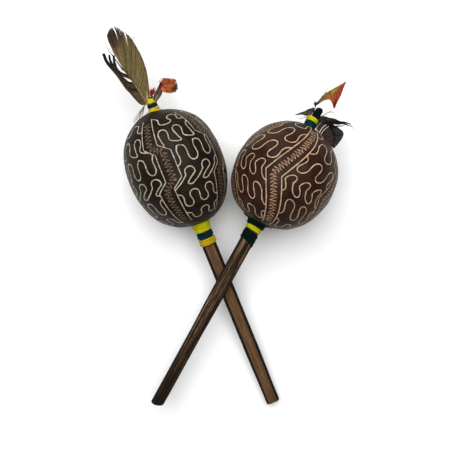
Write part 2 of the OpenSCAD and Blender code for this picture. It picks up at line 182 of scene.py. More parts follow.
def make_piece(name, maraca, vertices, faces, material, slot, node, values=None, colours=None):
    """A mesh in a maraca's frame, in place of a CAD node. The side goes before both names.

    Values and colours are one for each vertex.
    """
    name = f"{maraca.side}_{name}"
    mesh = bpy.data.meshes.new(name)
    mesh.from_pydata((np.asarray(vertices) * MM).tolist(), [], faces)
    mesh.polygons.foreach_set("use_smooth", [True] * len(mesh.polygons))
    for key, numbers in (values or {}).items():
        attribute = mesh.attributes.new(key, "FLOAT", "POINT")
        attribute.data.foreach_set("value", np.asarray(numbers, np.float32))
    if colours is not None:
        attribute = mesh.attributes.new("dye", "FLOAT_COLOR", "POINT")
        attribute.data.foreach_set("color", np.asarray(colours, np.float32).ravel())
    mesh.materials.append(material)
    mesh.update()
    piece = bpy.data.objects.new(name, mesh)
    bpy.context.scene.collection.objects.link(piece)
    piece.matrix_world = maraca.matrix
    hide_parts(f"{maraca.side}_{node}")
    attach(piece, maraca.body)


def ring_faces(rings, around, first=0, closed=False):
    """Quads between rings of vertices. Closed also joins the last ring to the first."""
    faces = []
    for ring in range(rings if closed else rings - 1):
        low = first + ring * around
        high = first + (ring + 1) % rings * around
        for i in range(around):
            after = (i + 1) % around
            faces.append((low + i, low + after, high + after, high + i))
    return faces


# ---------------------------------------------------------------- shader building

class Shader:
    """A material and short calls for the nodes that these looks use."""

    def __init__(self, name, roughness=0.5, **fixed):
        self.material = bpy.data.materials.new(name)
        self.material.use_nodes = True
        self.nodes = self.material.node_tree.nodes
        self.links = self.material.node_tree.links
        self.surface = self.nodes["Principled BSDF"]
        self.surface.inputs["Roughness"].default_value = roughness
        for socket, value in fixed.items():
            self.surface.inputs[socket.replace("_", " ")].default_value = value

    def put(self, socket, value):
        """Sets an input to a number or colour, or links an output to it."""
        if isinstance(value, bpy.types.NodeSocket):
            self.links.new(value, socket)
        else:
            socket.default_value = value

    def output(self, socket, value):
        """Sets or links one of the surface's own inputs."""
        self.put(self.surface.inputs[socket], value)

    def node(self, kind, inputs, **settings):
        """A new node. Its inputs, by name or number, are set or linked."""
        node = self.nodes.new("ShaderNode" + kind)
        for name, value in settings.items():
            setattr(node, name, value)
        for socket, value in inputs.items():
            self.put(node.inputs[socket], value)
        return node.outputs

    def place(self, stretch=(1, 1, 1)):
        """The piece's own coordinates, in metres, stretched along each axis."""
        coordinates = self.node("TexCoord", {})["Object"]
        return self.node("Mapping", {"Vector": coordinates, "Scale": stretch})["Vector"]

    def axes(self):
        """The piece's own X, Y and Z, in metres."""
        return self.node("SeparateXYZ", {0: self.node("TexCoord", {})["Object"]})

    def value(self, name, output="Fac"):
        """What make_piece stored at the vertices under a name."""
        return self.node("Attribute", {}, attribute_name=name)[output]

    def noise(self, place, scale, detail=3.0, roughness=0.55):
        """Soft noise from 0 to 1. Scale is in lumps for each metre."""
        return self.node("TexNoise", {"Vector": place, "Scale": scale, "Detail": detail,
                                      "Roughness": roughness})["Fac"]

    def math(self, operation, first, second=0.0):
        return self.node("Math", {0: first, 1: second}, operation=operation)[0]

    def plus(self, first, second):
        return self.math("ADD", first, second)

    def minus(self, first, second):
        return self.math("SUBTRACT", first, second)

    def times(self, first, second):
        return self.math("MULTIPLY", first, second)

    def blend_range(self, value, low, high, to_low=0.0, to_high=1.0):
        """A smooth change from to_low, where the value is low, to to_high."""
        return self.node("MapRange", {"Value": value, "From Min": low, "From Max": high,
                                      "To Min": to_low, "To Max": to_high},
                         interpolation_type="SMOOTHSTEP")["Result"]

    def mix(self, share, first, second, kind="MIX"):
        """The first colour where the share is 0, and the second where it is 1."""
        return self.node("Mix", {"Factor": share, 6: first, 7: second}, data_type="RGBA",
                         blend_type=kind)[2]

    def bump(self, height, distance):
        """Fine relief, as deep as distance in metres."""
        relief = self.node("Bump", {"Height": height, "Distance": distance, "Strength": 1.0})
        self.output("Normal", relief["Normal"])


# near-black brown: painted shade towards the gourd's holes, and the scorch along its cuts
SCORCH_AND_SHADE = (0.0035, 0.0025, 0.002, 1)
# near-black painted shade for the sides of the sticks
STICK_SIDE_SHADE = (0.008, 0.005, 0.004, 1)
UNEVEN = 0.7       # how far the zigzag wanders to either side, as a share of its reach
UNSTEADY = 1.1     # how far its strokes wander along the strip, in strokes
LEAN = 0.16        # how much its strokes bow, in strokes
STROKE_HALF = 0.29


def gourd_ground(shader, edge, speck, blotch, skin, worn):
    """The skin between the cuts: blotched, with painted shade towards both holes where it meets the binding, and
    scorched at the cuts.
    """
    ground = shader.mix(blotch, skin, worn)
    ground = shader.mix(shader.blend_range(speck, 0.42, 0.72, 0, 0.35), ground, worn)
    # painted shade: the skin goes darker towards both holes, round the binding
    shade_near_holes = shader.times(shader.value("bound"), shader.blend_range(blotch, 0, 1, 0.85, 0.6))
    ground = shader.mix(shade_near_holes, ground, SCORCH_AND_SHADE)
    return shader.mix(shader.blend_range(edge, 0.1, 1.5, 0.85, 0.0), ground, SCORCH_AND_SHADE)


def zigzag(shader, place, edge, pitch):
    """A rocked gouge's zigzag along the strips: 1 on its strokes, and 0 next to a cut line."""
    across = shader.times(shader.value("stitch_off"), 1 / STITCH_REACH)
    stray = shader.minus(shader.noise(place, 230, 2), 0.5)
    across = shader.plus(across, shader.times(stray, UNEVEN))
    phase = shader.times(shader.value("stitch_run"), 1 / pitch)
    phase = shader.plus(phase, shader.times(shader.noise(place, 240, 2), UNSTEADY))
    phase = shader.plus(phase, shader.times(shader.times(across, across), LEAN))
    swing = shader.times(shader.math("PINGPONG", phase, 0.5), 4)
    gap = shader.math("ABSOLUTE", shader.minus(shader.minus(swing, 1), across))
    stroke = shader.blend_range(gap, STROKE_HALF - 0.1, STROKE_HALF + 0.12, 1, 0)
    within = shader.blend_range(shader.math("ABSOLUTE", across), 0.95, 1.1, 1, 0)
    stroke = shader.times(stroke, within)
    stroke = shader.times(stroke, shader.blend_range(edge, 0.2, 0.6))
    faint = shader.blend_range(shader.noise(place, 900, 2), 0.3, 0.5, 0.45, 1)
    return shader.times(stroke, faint)


def gourd_shader(name, skin, worn, line, line_worn, stitch, pitch):
    """Dark polished gourd skin, with its cut lines and the rocked zigzags bare and matt."""
    shader = Shader(name, Specular_IOR_Level=0.1)
    place = shader.place()
    blotch = shader.blend_range(shader.noise(place, 55, 4, 0.6), 0.35, 0.7)
    speck = shader.noise(place, 1400, 2)
    ragged = shader.times(shader.minus(shader.noise(place, 1300, 3), 0.5), 0.5)
    edge = shader.plus(shader.value("cut"), ragged)
    wear = shader.blend_range(shader.noise(place, 420, 4, 0.7), 0.35, 0.68)
    groove = shader.blend_range(edge, -0.1, 0.16, 1, 0)
    stroke = zigzag(shader, place, edge, pitch)
    ground = gourd_ground(shader, edge, speck, blotch, skin, worn)
    colour = shader.mix(stroke, ground, stitch)
    shader.output("Base Color", shader.mix(groove, colour, shader.mix(wear, line, line_worn)))
    marks = shader.math("MAXIMUM", groove, stroke)
    polish = shader.blend_range(shader.noise(place, 90, 3), 0.3, 0.7, 0.42, 0.56)
    shader.output("Roughness", shader.plus(polish, shader.times(marks, 0.35)))
    shader.bump(shader.minus(shader.times(speck, 0.12), shader.times(marks, 0.5)), 0.00016)
    return shader.material


def wood_shader(name, face, dark, pale, edges, depth, streaks, butt):
    """Palm wood: long fibres, near-black at its butt, and with painted shade that goes near-black towards the
    sides of the stick.

    Depth is how strongly the dark fibres show, streaks the same for the pale ones.
    """
    shader = Shader(name, roughness=0.65, Specular_IOR_Level=0.05)
    fibre = shader.noise(shader.place((1, 1, 0.02)), 1350, 4, 0.6)
    fine = shader.noise(shader.place((1, 1, 0.05)), 3000, 3, 0.65)
    broad = shader.noise(shader.place((1, 1, 0.02)), 820, 3, 0.5)
    patch = shader.noise(shader.place((1, 1, 0.3)), 120, 3, 0.6)
    colour = shader.mix(shader.blend_range(fibre, 0.45, 0.54, depth, 0), face, dark)
    colour = shader.mix(shader.blend_range(broad, 0.54, 0.6, 0, streaks), colour, pale)
    colour = shader.mix(shader.blend_range(fine, 0.43, 0.51, 0.85 * depth, 0), colour, dark)
    colour = shader.mix(shader.blend_range(patch, 0.5, 0.72, 0, 0.5), colour, dark)
    axes = shader.axes()
    worn = shader.plus(axes["Z"], shader.times(patch, 0.05))
    colour = shader.mix(shader.blend_range(worn, 0.03, 0.13, butt, 0), colour, dark)
    # painted shade: the sides of the stick, which turn away from the light, go near-black
    side = shader.math("ABSOLUTE", axes["X"])
    side = shader.plus(side, shader.times(broad, 0.0012))
    colour = shader.mix(shader.blend_range(side, edges[0] * MM, edges[1] * MM, 0, 0.95),
                        colour, STICK_SIDE_SHADE)
    shader.output("Base Color", colour)
    shader.output("Roughness", shader.blend_range(fibre, 0.35, 0.65, 0.8, 0.6))
    height = shader.plus(fibre, shader.times(fine, 0.5))
    shader.bump(height, 0.0003)
    return shader.material


def thread_shader(name, colour, shade):
    """Twisted cotton: slanted plies along the thread, a little fuzz, and dye that varies, with painted shade in
    the grooves between the plies and where each turn meets the next.
    """
    shader = Shader(name, roughness=0.75, Specular_IOR_Level=0.05, Sheen_Weight=0.01,
                    Sheen_Roughness=0.5)
    place = shader.place()
    along = shader.value("run")
    ply = shader.plus(shader.times(along, 1.15), shader.value("turn"))
    ply = shader.math("PINGPONG", ply, 0.5)
    fuzz = shader.noise(place, 2600, 2)
    spot = shader.node("CombineXYZ", {0: shader.times(along, 0.06)})[0]
    lengths = shader.blend_range(shader.noise(spot, 1.0, 3, 0.7), 0.42, 0.62)
    tint = shader.blend_range(shader.noise(place, 160, 3, 0.6), 0.3, 0.7, 0, 0.35)
    tint = shader.plus(tint, shader.times(lengths, 0.4))
    colour = shader.mix(tint, colour, shade)
    # painted shade in the grooves between the twisted plies
    colour = shader.mix(shader.blend_range(ply, 0.0, 0.22, 0.5, 0), colour, shade)
    # painted shade on the sides of each turn, where it presses on the next
    inwards = shader.math("ABSOLUTE", shader.minus(shader.value("turn"), 0.5))
    colour = shader.mix(shader.blend_range(inwards, 0.15, 0.27, 0, 0.85), colour, shade)
    shader.output("Base Color", colour)
    height = shader.plus(ply, shader.times(fuzz, 0.4))
    shader.bump(height, 0.0002)
    return shader.material


def feather_shader(name):
    """A feather takes each barb's own dye, broken up along the barb by its tiny barbules."""
    shader = Shader(name, roughness=0.6, Specular_IOR_Level=0.06, Sheen_Weight=0.01,
                    Sheen_Roughness=0.4)
    place = shader.place()
    mottle = shader.blend_range(shader.noise(place, 420, 3, 0.6), 0.3, 0.7, 0.78, 1.15)
    barbule = shader.blend_range(shader.noise(place, 5200, 2), 0.3, 0.7, 0.85, 1.12)
    amount = shader.times(mottle, barbule)
    grey = shader.node("CombineColor", {0: amount, 1: amount, 2: amount})[0]
    dye = shader.value("dye", "Color")
    shader.output("Base Color", shader.mix(1.0, dye, grey, "MULTIPLY"))
    shader.bump(shader.noise(place, 4200, 2), 0.0001)
    return shader.material


def resin_shader():
    """Dark plant resin with bubbles and a soft gloss."""
    shader = Shader("resin", roughness=0.35)
    place = shader.place()
    lump = shader.noise(place, 500, 4)
    shader.output("Base Color", shader.mix(lump, srgb(18, 12, 8), srgb(58, 36, 20)))
    shader.output("Roughness", shader.blend_range(lump, 0.3, 0.7, 0.2, 0.6))
    shader.bump(lump, 0.0004)
    return shader.material


def seed_shader():
    """Hard dark seeds, mottled brown and black."""
    shader = Shader("seed", roughness=0.35)
    place = shader.place()
    mottle = shader.blend_range(shader.noise(place, 650, 4, 0.7), 0.4, 0.62)
    shader.output("Base Color", shader.mix(mottle, srgb(22, 15, 12), srgb(92, 60, 36)))
    shader.output("Roughness", shader.blend_range(mottle, 0, 1, 0.28, 0.55))
    shader.bump(shader.noise(place, 2200, 3), 0.00015)
    return shader.material


YELLOW = thread_shader("yellow_thread", srgb(218, 212, 22), srgb(128, 126, 4))
PALE_OCHRE = thread_shader("pale_ochre_thread", srgb(228, 198, 60), srgb(150, 122, 24))
OCHRE = thread_shader("ochre_thread", srgb(196, 170, 26), srgb(104, 84, 8))
BLUE = thread_shader("blue_thread", srgb(1, 46, 66), srgb(0, 18, 24))
TEAL = thread_shader("teal_thread", srgb(2, 56, 58), srgb(0, 20, 22))
GREEN = thread_shader("green_thread", srgb(1, 26, 20), srgb(0, 7, 6))
PLUMAGE = feather_shader("plumage")


# ---------------------------------------------------------------- camera, light and floor

CAMERA_HEIGHT = 0.5805
CAMERA_SHIFT = Vector((-0.0035, 0.00015, 0))
KEY_LIGHT = Vector((-0.1, 0.38, 1.26))
FLOOR_HALF = 12.0


def box_middle():
    """The middle of the object."""
    low, high = (Vector(corner) for corner in CAD_BOX)
    return (low + high) / 2


def put_in_scene(name, data, place=(0, 0, 0)):
    """An object made of a mesh, camera or light, at a place."""
    thing = bpy.data.objects.new(name, data)
    bpy.context.scene.collection.objects.link(thing)
    thing.location = place
    return thing


def add_camera():
    """A 50 mm lens straight above the object, as far off as frames it like the photo."""
    data = bpy.data.cameras.new("camera")
    data.lens = 50
    data.sensor_width = 36
    data.clip_start = 0.01
    place = box_middle() + CAMERA_SHIFT
    place.z = CAMERA_HEIGHT
    bpy.context.scene.camera = put_in_scene("camera", data, place)


def add_floor():
    """A large pale plane that the maracas lie on."""
    mesh = bpy.data.meshes.new("floor")
    corners = [(x * FLOOR_HALF, y * FLOOR_HALF, 0)
               for x, y in ((-1, -1), (1, -1), (1, 1), (-1, 1))]
    mesh.from_pydata(corners, [], [(0, 1, 2, 3)])
    shader = Shader("floor", roughness=0.8)
    grain = shader.noise(shader.place(), 40, 3)
    shader.output("Base Color", shader.mix(grain, srgb(248, 248, 248), srgb(244, 244, 244)))
    mesh.materials.append(shader.material)
    put_in_scene("floor", mesh)


def light_the_studio():
    """One large soft box above and behind, and a dim even sky."""
    data = bpy.data.lights.new("key", "AREA")
    data.size = 1.5
    data.energy = 31.0
    key = put_in_scene("key", data, KEY_LIGHT)
    key.rotation_euler = (box_middle() - KEY_LIGHT).to_track_quat("-Z", "Y").to_euler()
    world = bpy.data.worlds.new("studio")
    world.use_nodes = True
    background = world.node_tree.nodes["Background"]
    background.inputs["Color"].default_value = (0.96, 0.98, 1, 1)
    background.inputs["Strength"].default_value = 0.12
    bpy.context.scene.world = world
    bpy.context.scene.view_settings.view_transform = "Standard"


# ---------------------------------------------------------------- gourds

AROUND = 432
OUTER_RINGS = 199
INNER_RINGS = 22
CUT_HALF_WIDTH = 0.46
CUT_DEPTH = 0.28
CUT_FIELD = (-2, 4)         # the range of distances from a cut's edge that is kept
STITCH_REACH = 2.7
STRIP_END = 0.4             # how far past its end a strip of zigzag still counts
RUN_GAP = 50                # keeps the strokes of one strip apart from the next one's
NOWHERE = 99.0
SAMPLE_STEP = 0.15
DENTS_PER_MM = 0.045
DENT_DEPTH = 0.5
HOLE_RIM = (8, 16)          # dents fade out over these radii, to meet the thread
HOLE_SHADE = (9, 27)         # painted shade near the holes fades out over these radii
SHOULDER_RISE = (32, 49)    # heights over which a low shoulder sinks
SHOULDER_SIDE = (-4, 9)     # and how far across
HEEL_RISE = (38, 48.5)      # depths below the belly over which the heel is drawn up
PANELS = 5
STRIP_ANGLE = 19
HALF_TURN_WIDTH = 7.3
HALF_TURN_STEPS = 12
STRIP_POINTS = 24


class Gourd:
    """A gourd's shell: the CAD outline, swaying a little sideways as the real one has grown.

    Sway is how far its belly lies aside, and sway_slope the same for each mm above. Shoulder is
    how much lower its top is on one side, and heel how far it is drawn up round the neck.
    """

    def __init__(self, maraca, sway, sway_slope, shoulder=0.0, heel=0.0):
        self.maraca = maraca
        self.shoulder = shoulder
        self.heel = heel
        self.sway = sway
        self.sway_slope = sway_slope
        self.tree = maraca.tree("gourd")
        vertices = maraca.vertices("gourd")
        radii = np.hypot(vertices[:, 0], vertices[:, 1])
        heights = vertices[:, 2] - maraca.belly
        self.low = -heights.min()
        self.high = heights.max()
        self.outer = self.outline(radii, heights, OUTER_RINGS, inside=False)
        self.inner = self.outline(radii, heights, INNER_RINGS, inside=True)

    def outline(self, radii, heights, steps, inside):
        """(radius, height above the belly) along the shell, from its lower to its upper hole."""
        angles = []
        for sign in (-1, 1):
            hole = radii[sign * heights > 0].min() + 0.05
            rim = heights[(radii < hole) & (sign * heights > 0)]
            height = (abs(rim).min() if inside else abs(rim).max())
            angles.append(sign * (math.atan2(height, hole) - 0.001))
        points = []
        middle = Vector((0, 0, self.maraca.belly))
        for angle in np.linspace(angles[0], angles[1], steps + 1):
            ray = radial(90) * math.cos(angle) + Vector((0, 0, math.sin(angle)))
            if inside:
                reach = self.tree.ray_cast(middle, ray)[3]
            else:
                reach = FAR - self.tree.ray_cast(middle + ray * FAR, -ray)[3]
            points.append((reach * math.cos(angle), reach * math.sin(angle)))
        return np.array(points)

    def sideways(self, height):
        """How far the shell lies aside at a height, fading out towards both holes."""
        ends = np.where(height < 0, self.low, self.high)
        fade = 1 - np.abs(height / ends) ** 6
        return (self.sway + self.sway_slope * height) * fade

    def surface(self, angle, height, radius=None):
        """Points on the outside, before dents and cuts."""
        if radius is None:
            radius = np.interp(height, self.outer[:, 1], self.outer[:, 0])
        turn = np.radians(angle)
        across = radius * np.sin(turn)
        drop = self.shoulder * smooth_step(height, *SHOULDER_RISE)
        drop = drop * smooth_step(across, *SHOULDER_SIDE)
        return np.stack([across + self.sideways(height), -radius * np.cos(turn),
                         height + self.maraca.belly + self.tuck(height) - drop], axis=-1)

    def tuck(self, height):
        """How far the underside is drawn up round the neck."""
        return self.heel * smooth_step(-height, *HEEL_RISE)

    def trace(self, line):
        """A line given as (angle, height) points, laid on the outside as a smooth curve."""
        flat = smooth_curve(line, 0.5)
        points = self.surface(flat[:, 0], flat[:, 1])
        count = max(2, int(lengths_along(points)[-1] / SAMPLE_STEP))
        return at_share(points, np.linspace(0, 1, count))


def nearest(samples, vertices):
    """Each vertex's nearest sample, and how far away it is."""
    tree = kdtree.KDTree(len(samples))
    for i, sample in enumerate(samples):
        tree.insert(sample, i)
    tree.balance()
    found = [tree.find(vertex) for vertex in vertices]
    return np.array([f[1] for f in found]), np.array([f[2] for f in found])


def cut_field(gourd, lines, fine, vertices):
    """How far each vertex is from the edge of the nearest cut line, below 0 inside it.

    Straight lines are cut finer than the curls, by the share that fine gives.
    """
    traced = [gourd.trace(line) for line in lines]
    half_widths = []
    for number, points in enumerate(traced):
        run = lengths_along(points)
        wave = [noise.noise(Vector((s * 0.3, number * 7.1, 0))) for s in run]
        straight = np.linalg.norm(points[-1] - points[0]) > 0.95 * run[-1]
        half = CUT_HALF_WIDTH * (fine if straight else 1.0)
        half_widths.append(half * (1 + 0.3 * np.array(wave)))
    index, distance = nearest(np.vstack(traced), vertices)
    return np.clip(distance - np.concatenate(half_widths)[index], *CUT_FIELD)


def stitch_field(gourd, paths, vertices):
    """Where each vertex lies along and off the nearest stitched path."""
    traced = [gourd.trace(path) for path in paths]
    runs = [lengths_along(points) for points in traced]
    starts = np.cumsum([0] + [run[-1] + RUN_GAP for run in runs])
    ends = np.concatenate([[-1] + [0] * (len(points) - 2) + [1] for points in traced])
    directions = [np.gradient(points, run, axis=0) for points, run in zip(traced, runs)]
    samples = np.vstack(traced)
    index, distance = nearest(samples, vertices)
    offset = vertices - samples[index]
    direction = np.vstack(directions)[index]
    ahead = np.einsum("ij,ij->i", offset, direction)
    run = np.concatenate([run + start for run, start in zip(runs, starts)])[index] + ahead
    middle = (gourd.sideways(0.0), 0, gourd.maraca.belly)
    side = np.sign(np.einsum("ij,ij->i", offset, np.cross(direction, vertices - middle)))
    off = side * np.sqrt(np.maximum(distance ** 2 - ahead ** 2, 0))
    off[ends[index] * ahead > STRIP_END] = NOWHERE
    return run, np.clip(off, -NOWHERE, NOWHERE)


def serpentine(turns, rng):
    """A winding line of a few half turns: x from 0 to 1, and y between -1 and 1."""
    heading = []
    for turn in range(turns):
        swing = rng.uniform(1.6, 1.9) * (-1) ** turn
        heading += [swing * math.sin(math.pi * (i + 0.5) / HALF_TURN_STEPS)
                    for i in range(HALF_TURN_STEPS)]
    x = np.concatenate([[0], np.cumsum(np.cos(heading))])
    y = np.concatenate([[0], np.cumsum(np.sin(heading))])
    return x / x[-1], 2 * (y - y.min()) / (y.max() - y.min()) - 1


def ornament(gourd, first, bends, shifts, rows, seed):
    """A plain made-up pattern: panels of winding rows, parted by strips for the zigzags.

    It goes all round the gourd in equal panels, and the first strip is at the first angle.
    Bends are heights where every border turns, and shifts the degrees each lies aside there.
    Rows are (middle, half height). Returns the cut lines, and the middle line of each strip.
    """
    rng = random.Random(seed)
    lines = []
    stitches = []
    period = 360 / PANELS
    for panel in range(PANELS):
        strip = first + panel * period
        edges = (strip + STRIP_ANGLE / 2, strip + period - STRIP_ANGLE / 2)
        for edge in edges:
            corners = [(edge + shift, bend) for bend, shift in zip(bends, shifts)]
            lines += [list(pair) for pair in zip(corners, corners[1:])]
        for middle, half in rows:
            radius = np.interp(middle, gourd.outer[:, 1], gourd.outer[:, 0])
            width = math.radians(edges[1] - edges[0]) * radius
            x, y = serpentine(max(2, round(width / HALF_TURN_WIDTH)), rng)
            height = middle + half * rng.uniform(0.92, 1.04) * y * rng.choice((-1, 1))
            angle = edges[0] + (edges[1] - edges[0]) * x + np.interp(height, bends, shifts)
            lines.append(list(zip(angle, height)))
        heights = np.linspace(bends[0] + 3, bends[-1] - 3, STRIP_POINTS)
        stitches.append([(strip + np.interp(h, bends, shifts), h) for h in heights])
    return lines, stitches


def add_gourd(gourd, lines, stitches, fine, material, slot, seed):
    """One shell: a finely cut outside, joined over both holes to a plain inside.

    Fine is the width of straight cuts against curls.
    """
    turn = np.arange(AROUND) * 360 / AROUND
    rings = len(gourd.outer)
    angle = np.tile(turn, rings)
    height = np.repeat(gourd.outer[:, 1], AROUND)
    radius = np.repeat(gourd.outer[:, 0], AROUND)
    outside = gourd.surface(angle, height, radius)
    cut = cut_field(gourd, lines, fine, outside)
    run, off = stitch_field(gourd, stitches, outside)
    lean_out, lean_up = np.repeat(outline_normals(gourd.outer), AROUND, axis=0).T
    normals = radials(np.radians(angle)) * lean_out[:, None]
    normals[:, 2] = lean_up
    dents = np.array([noise.fractal(Vector(p) * DENTS_PER_MM + Vector((seed, 0, 0)), 0.8, 2, 3)
                      for p in outside])
    depth = DENT_DEPTH * dents * smooth_step(radius, *HOLE_RIM)
    depth -= CUT_DEPTH * smooth_step(-cut, -0.25, 0.45)
    outside += normals * depth[:, None]
    inside = []
    for inner_radius, inner_height in gourd.inner[::-1]:
        ring = radials(np.radians(turn)) * inner_radius
        ring[:, 2] = inner_height + gourd.maraca.belly
        inside.append(ring)
    vertices = np.vstack([outside] + inside)
    plain = np.zeros(len(vertices) - len(outside))
    faces = ring_faces(rings + len(inside), AROUND, closed=True)
    # bound is 1 towards both holes, for the painted shade round the binding
    bound = 1 - smooth_step(radius, *HOLE_SHADE)
    values = {"cut": np.concatenate([cut, plain + CUT_FIELD[1]]),
              "bound": np.concatenate([bound, plain]),
              "stitch_run": np.concatenate([run, plain]),
              "stitch_off": np.concatenate([off, plain + NOWHERE])}
    make_piece("carved_gourd", gourd.maraca, vertices, faces, material, slot, "gourd", values)


# ---------------------------------------------------------------- sticks

STICK_AROUND = 128
RING_GAP = 0.9
CAP_RINGS = ((0.35, 0.1), (0.7, 0.0), (0.93, 0.0))     # share of the radius, and how far sunk
CHAMFER = 0.35


def sawn_end(edge, bottom, slant):
    """Rings across the cut end of a stick, a little uneven, inside its edge."""
    for share, sunk in CAP_RINGS:
        ring = edge * (share, share, 1)
        ring[:, 2] = bottom + slant * ring[:, 0] + sunk
        ring[:, 2] += [0.12 * noise.noise(Vector(p) * 1.4) for p in ring]
        yield ring


def add_stick(maraca, name, material, slot, seen_length, groove, slant, seed):
    """The stick's own section, read off the CAD, with fibres cut into it and a sawn end.

    Fibres are as deep as groove over the seen length and fade out under the thread. Slant tips
    the sawn end.
    """
    tree = maraca.tree("stick")
    heights = maraca.vertices("stick")[:, 2]
    bottom, top = heights.min(), heights.max()
    levels = np.concatenate([np.arange(bottom + 0.05, seen_length, RING_GAP),
                             np.linspace(seen_length, top - 0.1, 60)])
    rings = []
    for z in levels:
        ring = []
        for i in range(STICK_AROUND):
            angle = i * 360 / STICK_AROUND
            radius = outer_radius(tree, z, angle)
            out = radial(angle)
            fine = noise.fractal(Vector((out.x * 9, out.y * 9, z * 0.02 + seed)), 0.7, 2, 4)
            broad = noise.noise(Vector((out.x * 3, out.y * 3, z * 0.012 + seed)))
            seen = smooth_step(seen_length - z, 0, 6)
            radius += seen * groove * (fine * 0.6 + broad * 0.7 - 0.2)
            fade = max(0.0, 1 - (z - bottom) / 12)
            ring.append((out.x * radius, out.y * radius, z + slant * out.x * radius * fade))
        rings.append(np.array(ring))
    cap = list(sawn_end(rings[0], bottom, slant))
    rings[0][:, 2] += CHAMFER
    vertices = np.vstack(cap + rings)
    count = len(vertices)
    middle = [vertices[:STICK_AROUND].mean(0), vertices[-STICK_AROUND:].mean(0)]
    faces = ring_faces(len(cap) + len(rings), STICK_AROUND)
    last = count - STICK_AROUND
    for i in range(STICK_AROUND):
        after = (i + 1) % STICK_AROUND
        faces.append((count, after, i))
        faces.append((count + 1, last + i, last + after))
    make_piece(name, maraca, np.vstack([vertices, middle]), faces, material, slot, "stick")


# ---------------------------------------------------------------- thread

STEPS_PER_TURN = 60
TUBE_SIDES = 8
SLEEVE_AROUND = 72
TURN_SPACING = 0.86     # in threads: wound tight, so that the turns press into each other
THREAD = {"neck": 0.95, "tip": 0.75}


def band_profile(maraca, node, up_to_widest=False):
    """(radius, height) up the outside of a CAD band."""
    tree = maraca.tree(node)
    heights = maraca.vertices(node)[:, 2]
    levels = np.linspace(heights.min() + 0.05, heights.max() - 0.05, 40)
    points = np.array([(outer_radius(tree, z), z) for z in levels])
    if up_to_widest:
        points = points[:points[:, 0].argmax() + 1]
    return points


def up_the_gourd(gourd, start, rise, thread):
    """(radius, height) points that carry a winding on over the gourd's underside."""
    outer = gourd.outer + (0, gourd.maraca.belly)
    outer[:, 1] += gourd.tuck(gourd.outer[:, 1])
    outer = outer + outline_normals(outer) * thread * 0.3
    low = outer[:len(outer) // 2]
    return low[(low[:, 0] > start[0] + 0.2) & (low[:, 0] < start[0] + rise)]


def wind(profile, angle, radius, height, thread, sideways, tilt):
    """A tube of thread along a path round the stick, and the length run at each vertex."""
    out = radials(angle)
    if tilt is not None:
        height = height + tilt(height, out)
    middle = out * radius[:, None]
    middle[:, 0] += np.interp(height, profile[[0, -1], 1], sideways)
    middle[:, 2] = height
    side = 2 * math.pi * np.arange(TUBE_SIDES) / TUBE_SIDES
    outwards = -np.cos(side)[None, :, None] * out[:, None]
    upwards = np.sin(side)[None, :, None] * np.array([0, 0, 1.0])
    tube = middle[:, None] + thread / 2 * (outwards + upwards)
    return tube.reshape(-1, 3), np.repeat(lengths_along(middle), TUBE_SIDES)


def loose_turns(profile, count, thread, seed):
    """A few turns that cross the others aslant, with both ends tucked under."""
    rng = random.Random(seed)
    low, high = profile[0, 1] + thread, profile[-1, 1] - thread
    for _ in range(count):
        share = np.linspace(0, 1, 100)
        angle = rng.uniform(0, 2 * math.pi) + share * rng.uniform(1.2, 2.4) * math.pi
        start = rng.uniform(low, high)
        end = min(max(start + rng.choice((-1, 1)) * rng.uniform(1, 2.5) * thread, low), high)
        height = start + (end - start) * smooth_step(share, 0, 1)
        radius = np.interp(height, profile[:, 1], profile[:, 0]) + thread * 0.3
        radius -= thread * 0.8 * (1 - smooth_step(np.minimum(share, 1 - share), 0, 0.07))
        yield angle, radius, height


def band_middle(maraca, node, thread, gourd, rise, foot, body):
    """(radius, height) up the middle of a band's thread, without the crown."""
    if body is not None:
        profile = smooth_curve(body, 0.3)
    else:
        profile = band_profile(maraca, node, up_to_widest=gourd is not None)
    profile[:, 0] -= thread / 2
    run = lengths_along(profile)
    profile = profile[(run >= thread * 0.45) & (run <= run[-1] - thread * 0.35)]
    if len(foot):
        profile = np.vstack([foot, profile])
    if gourd is not None:
        profile = np.vstack([profile, up_the_gourd(gourd, profile[-1], rise, thread)])
    return profile


def winding(profile, thread, seed):
    """(angle, radius, height) along the main thread, a little uneven, with its ends tucked in."""
    turns = lengths_along(profile)[-1] / (thread * TURN_SPACING)
    steps = int(turns * STEPS_PER_TURN)
    radius, height = at_share(profile, np.linspace(0, 1, steps + 1)).T
    angle = np.arange(steps + 1) * 2 * math.pi / STEPS_PER_TURN + seed
    wobble = np.array([noise.noise(Vector((seed * 3.7, a * 0.9, 0))) for a in angle])
    stray = np.array([noise.noise(Vector((seed * 5.3, 9, a * 0.35))) for a in angle])
    ends = np.minimum(angle - angle[0], angle[-1] - angle)
    radius = radius + 0.07 * wobble - 0.35 * (1 - smooth_step(ends, 0, 1.2))
    return angle, radius, height + thread * 0.42 * stray


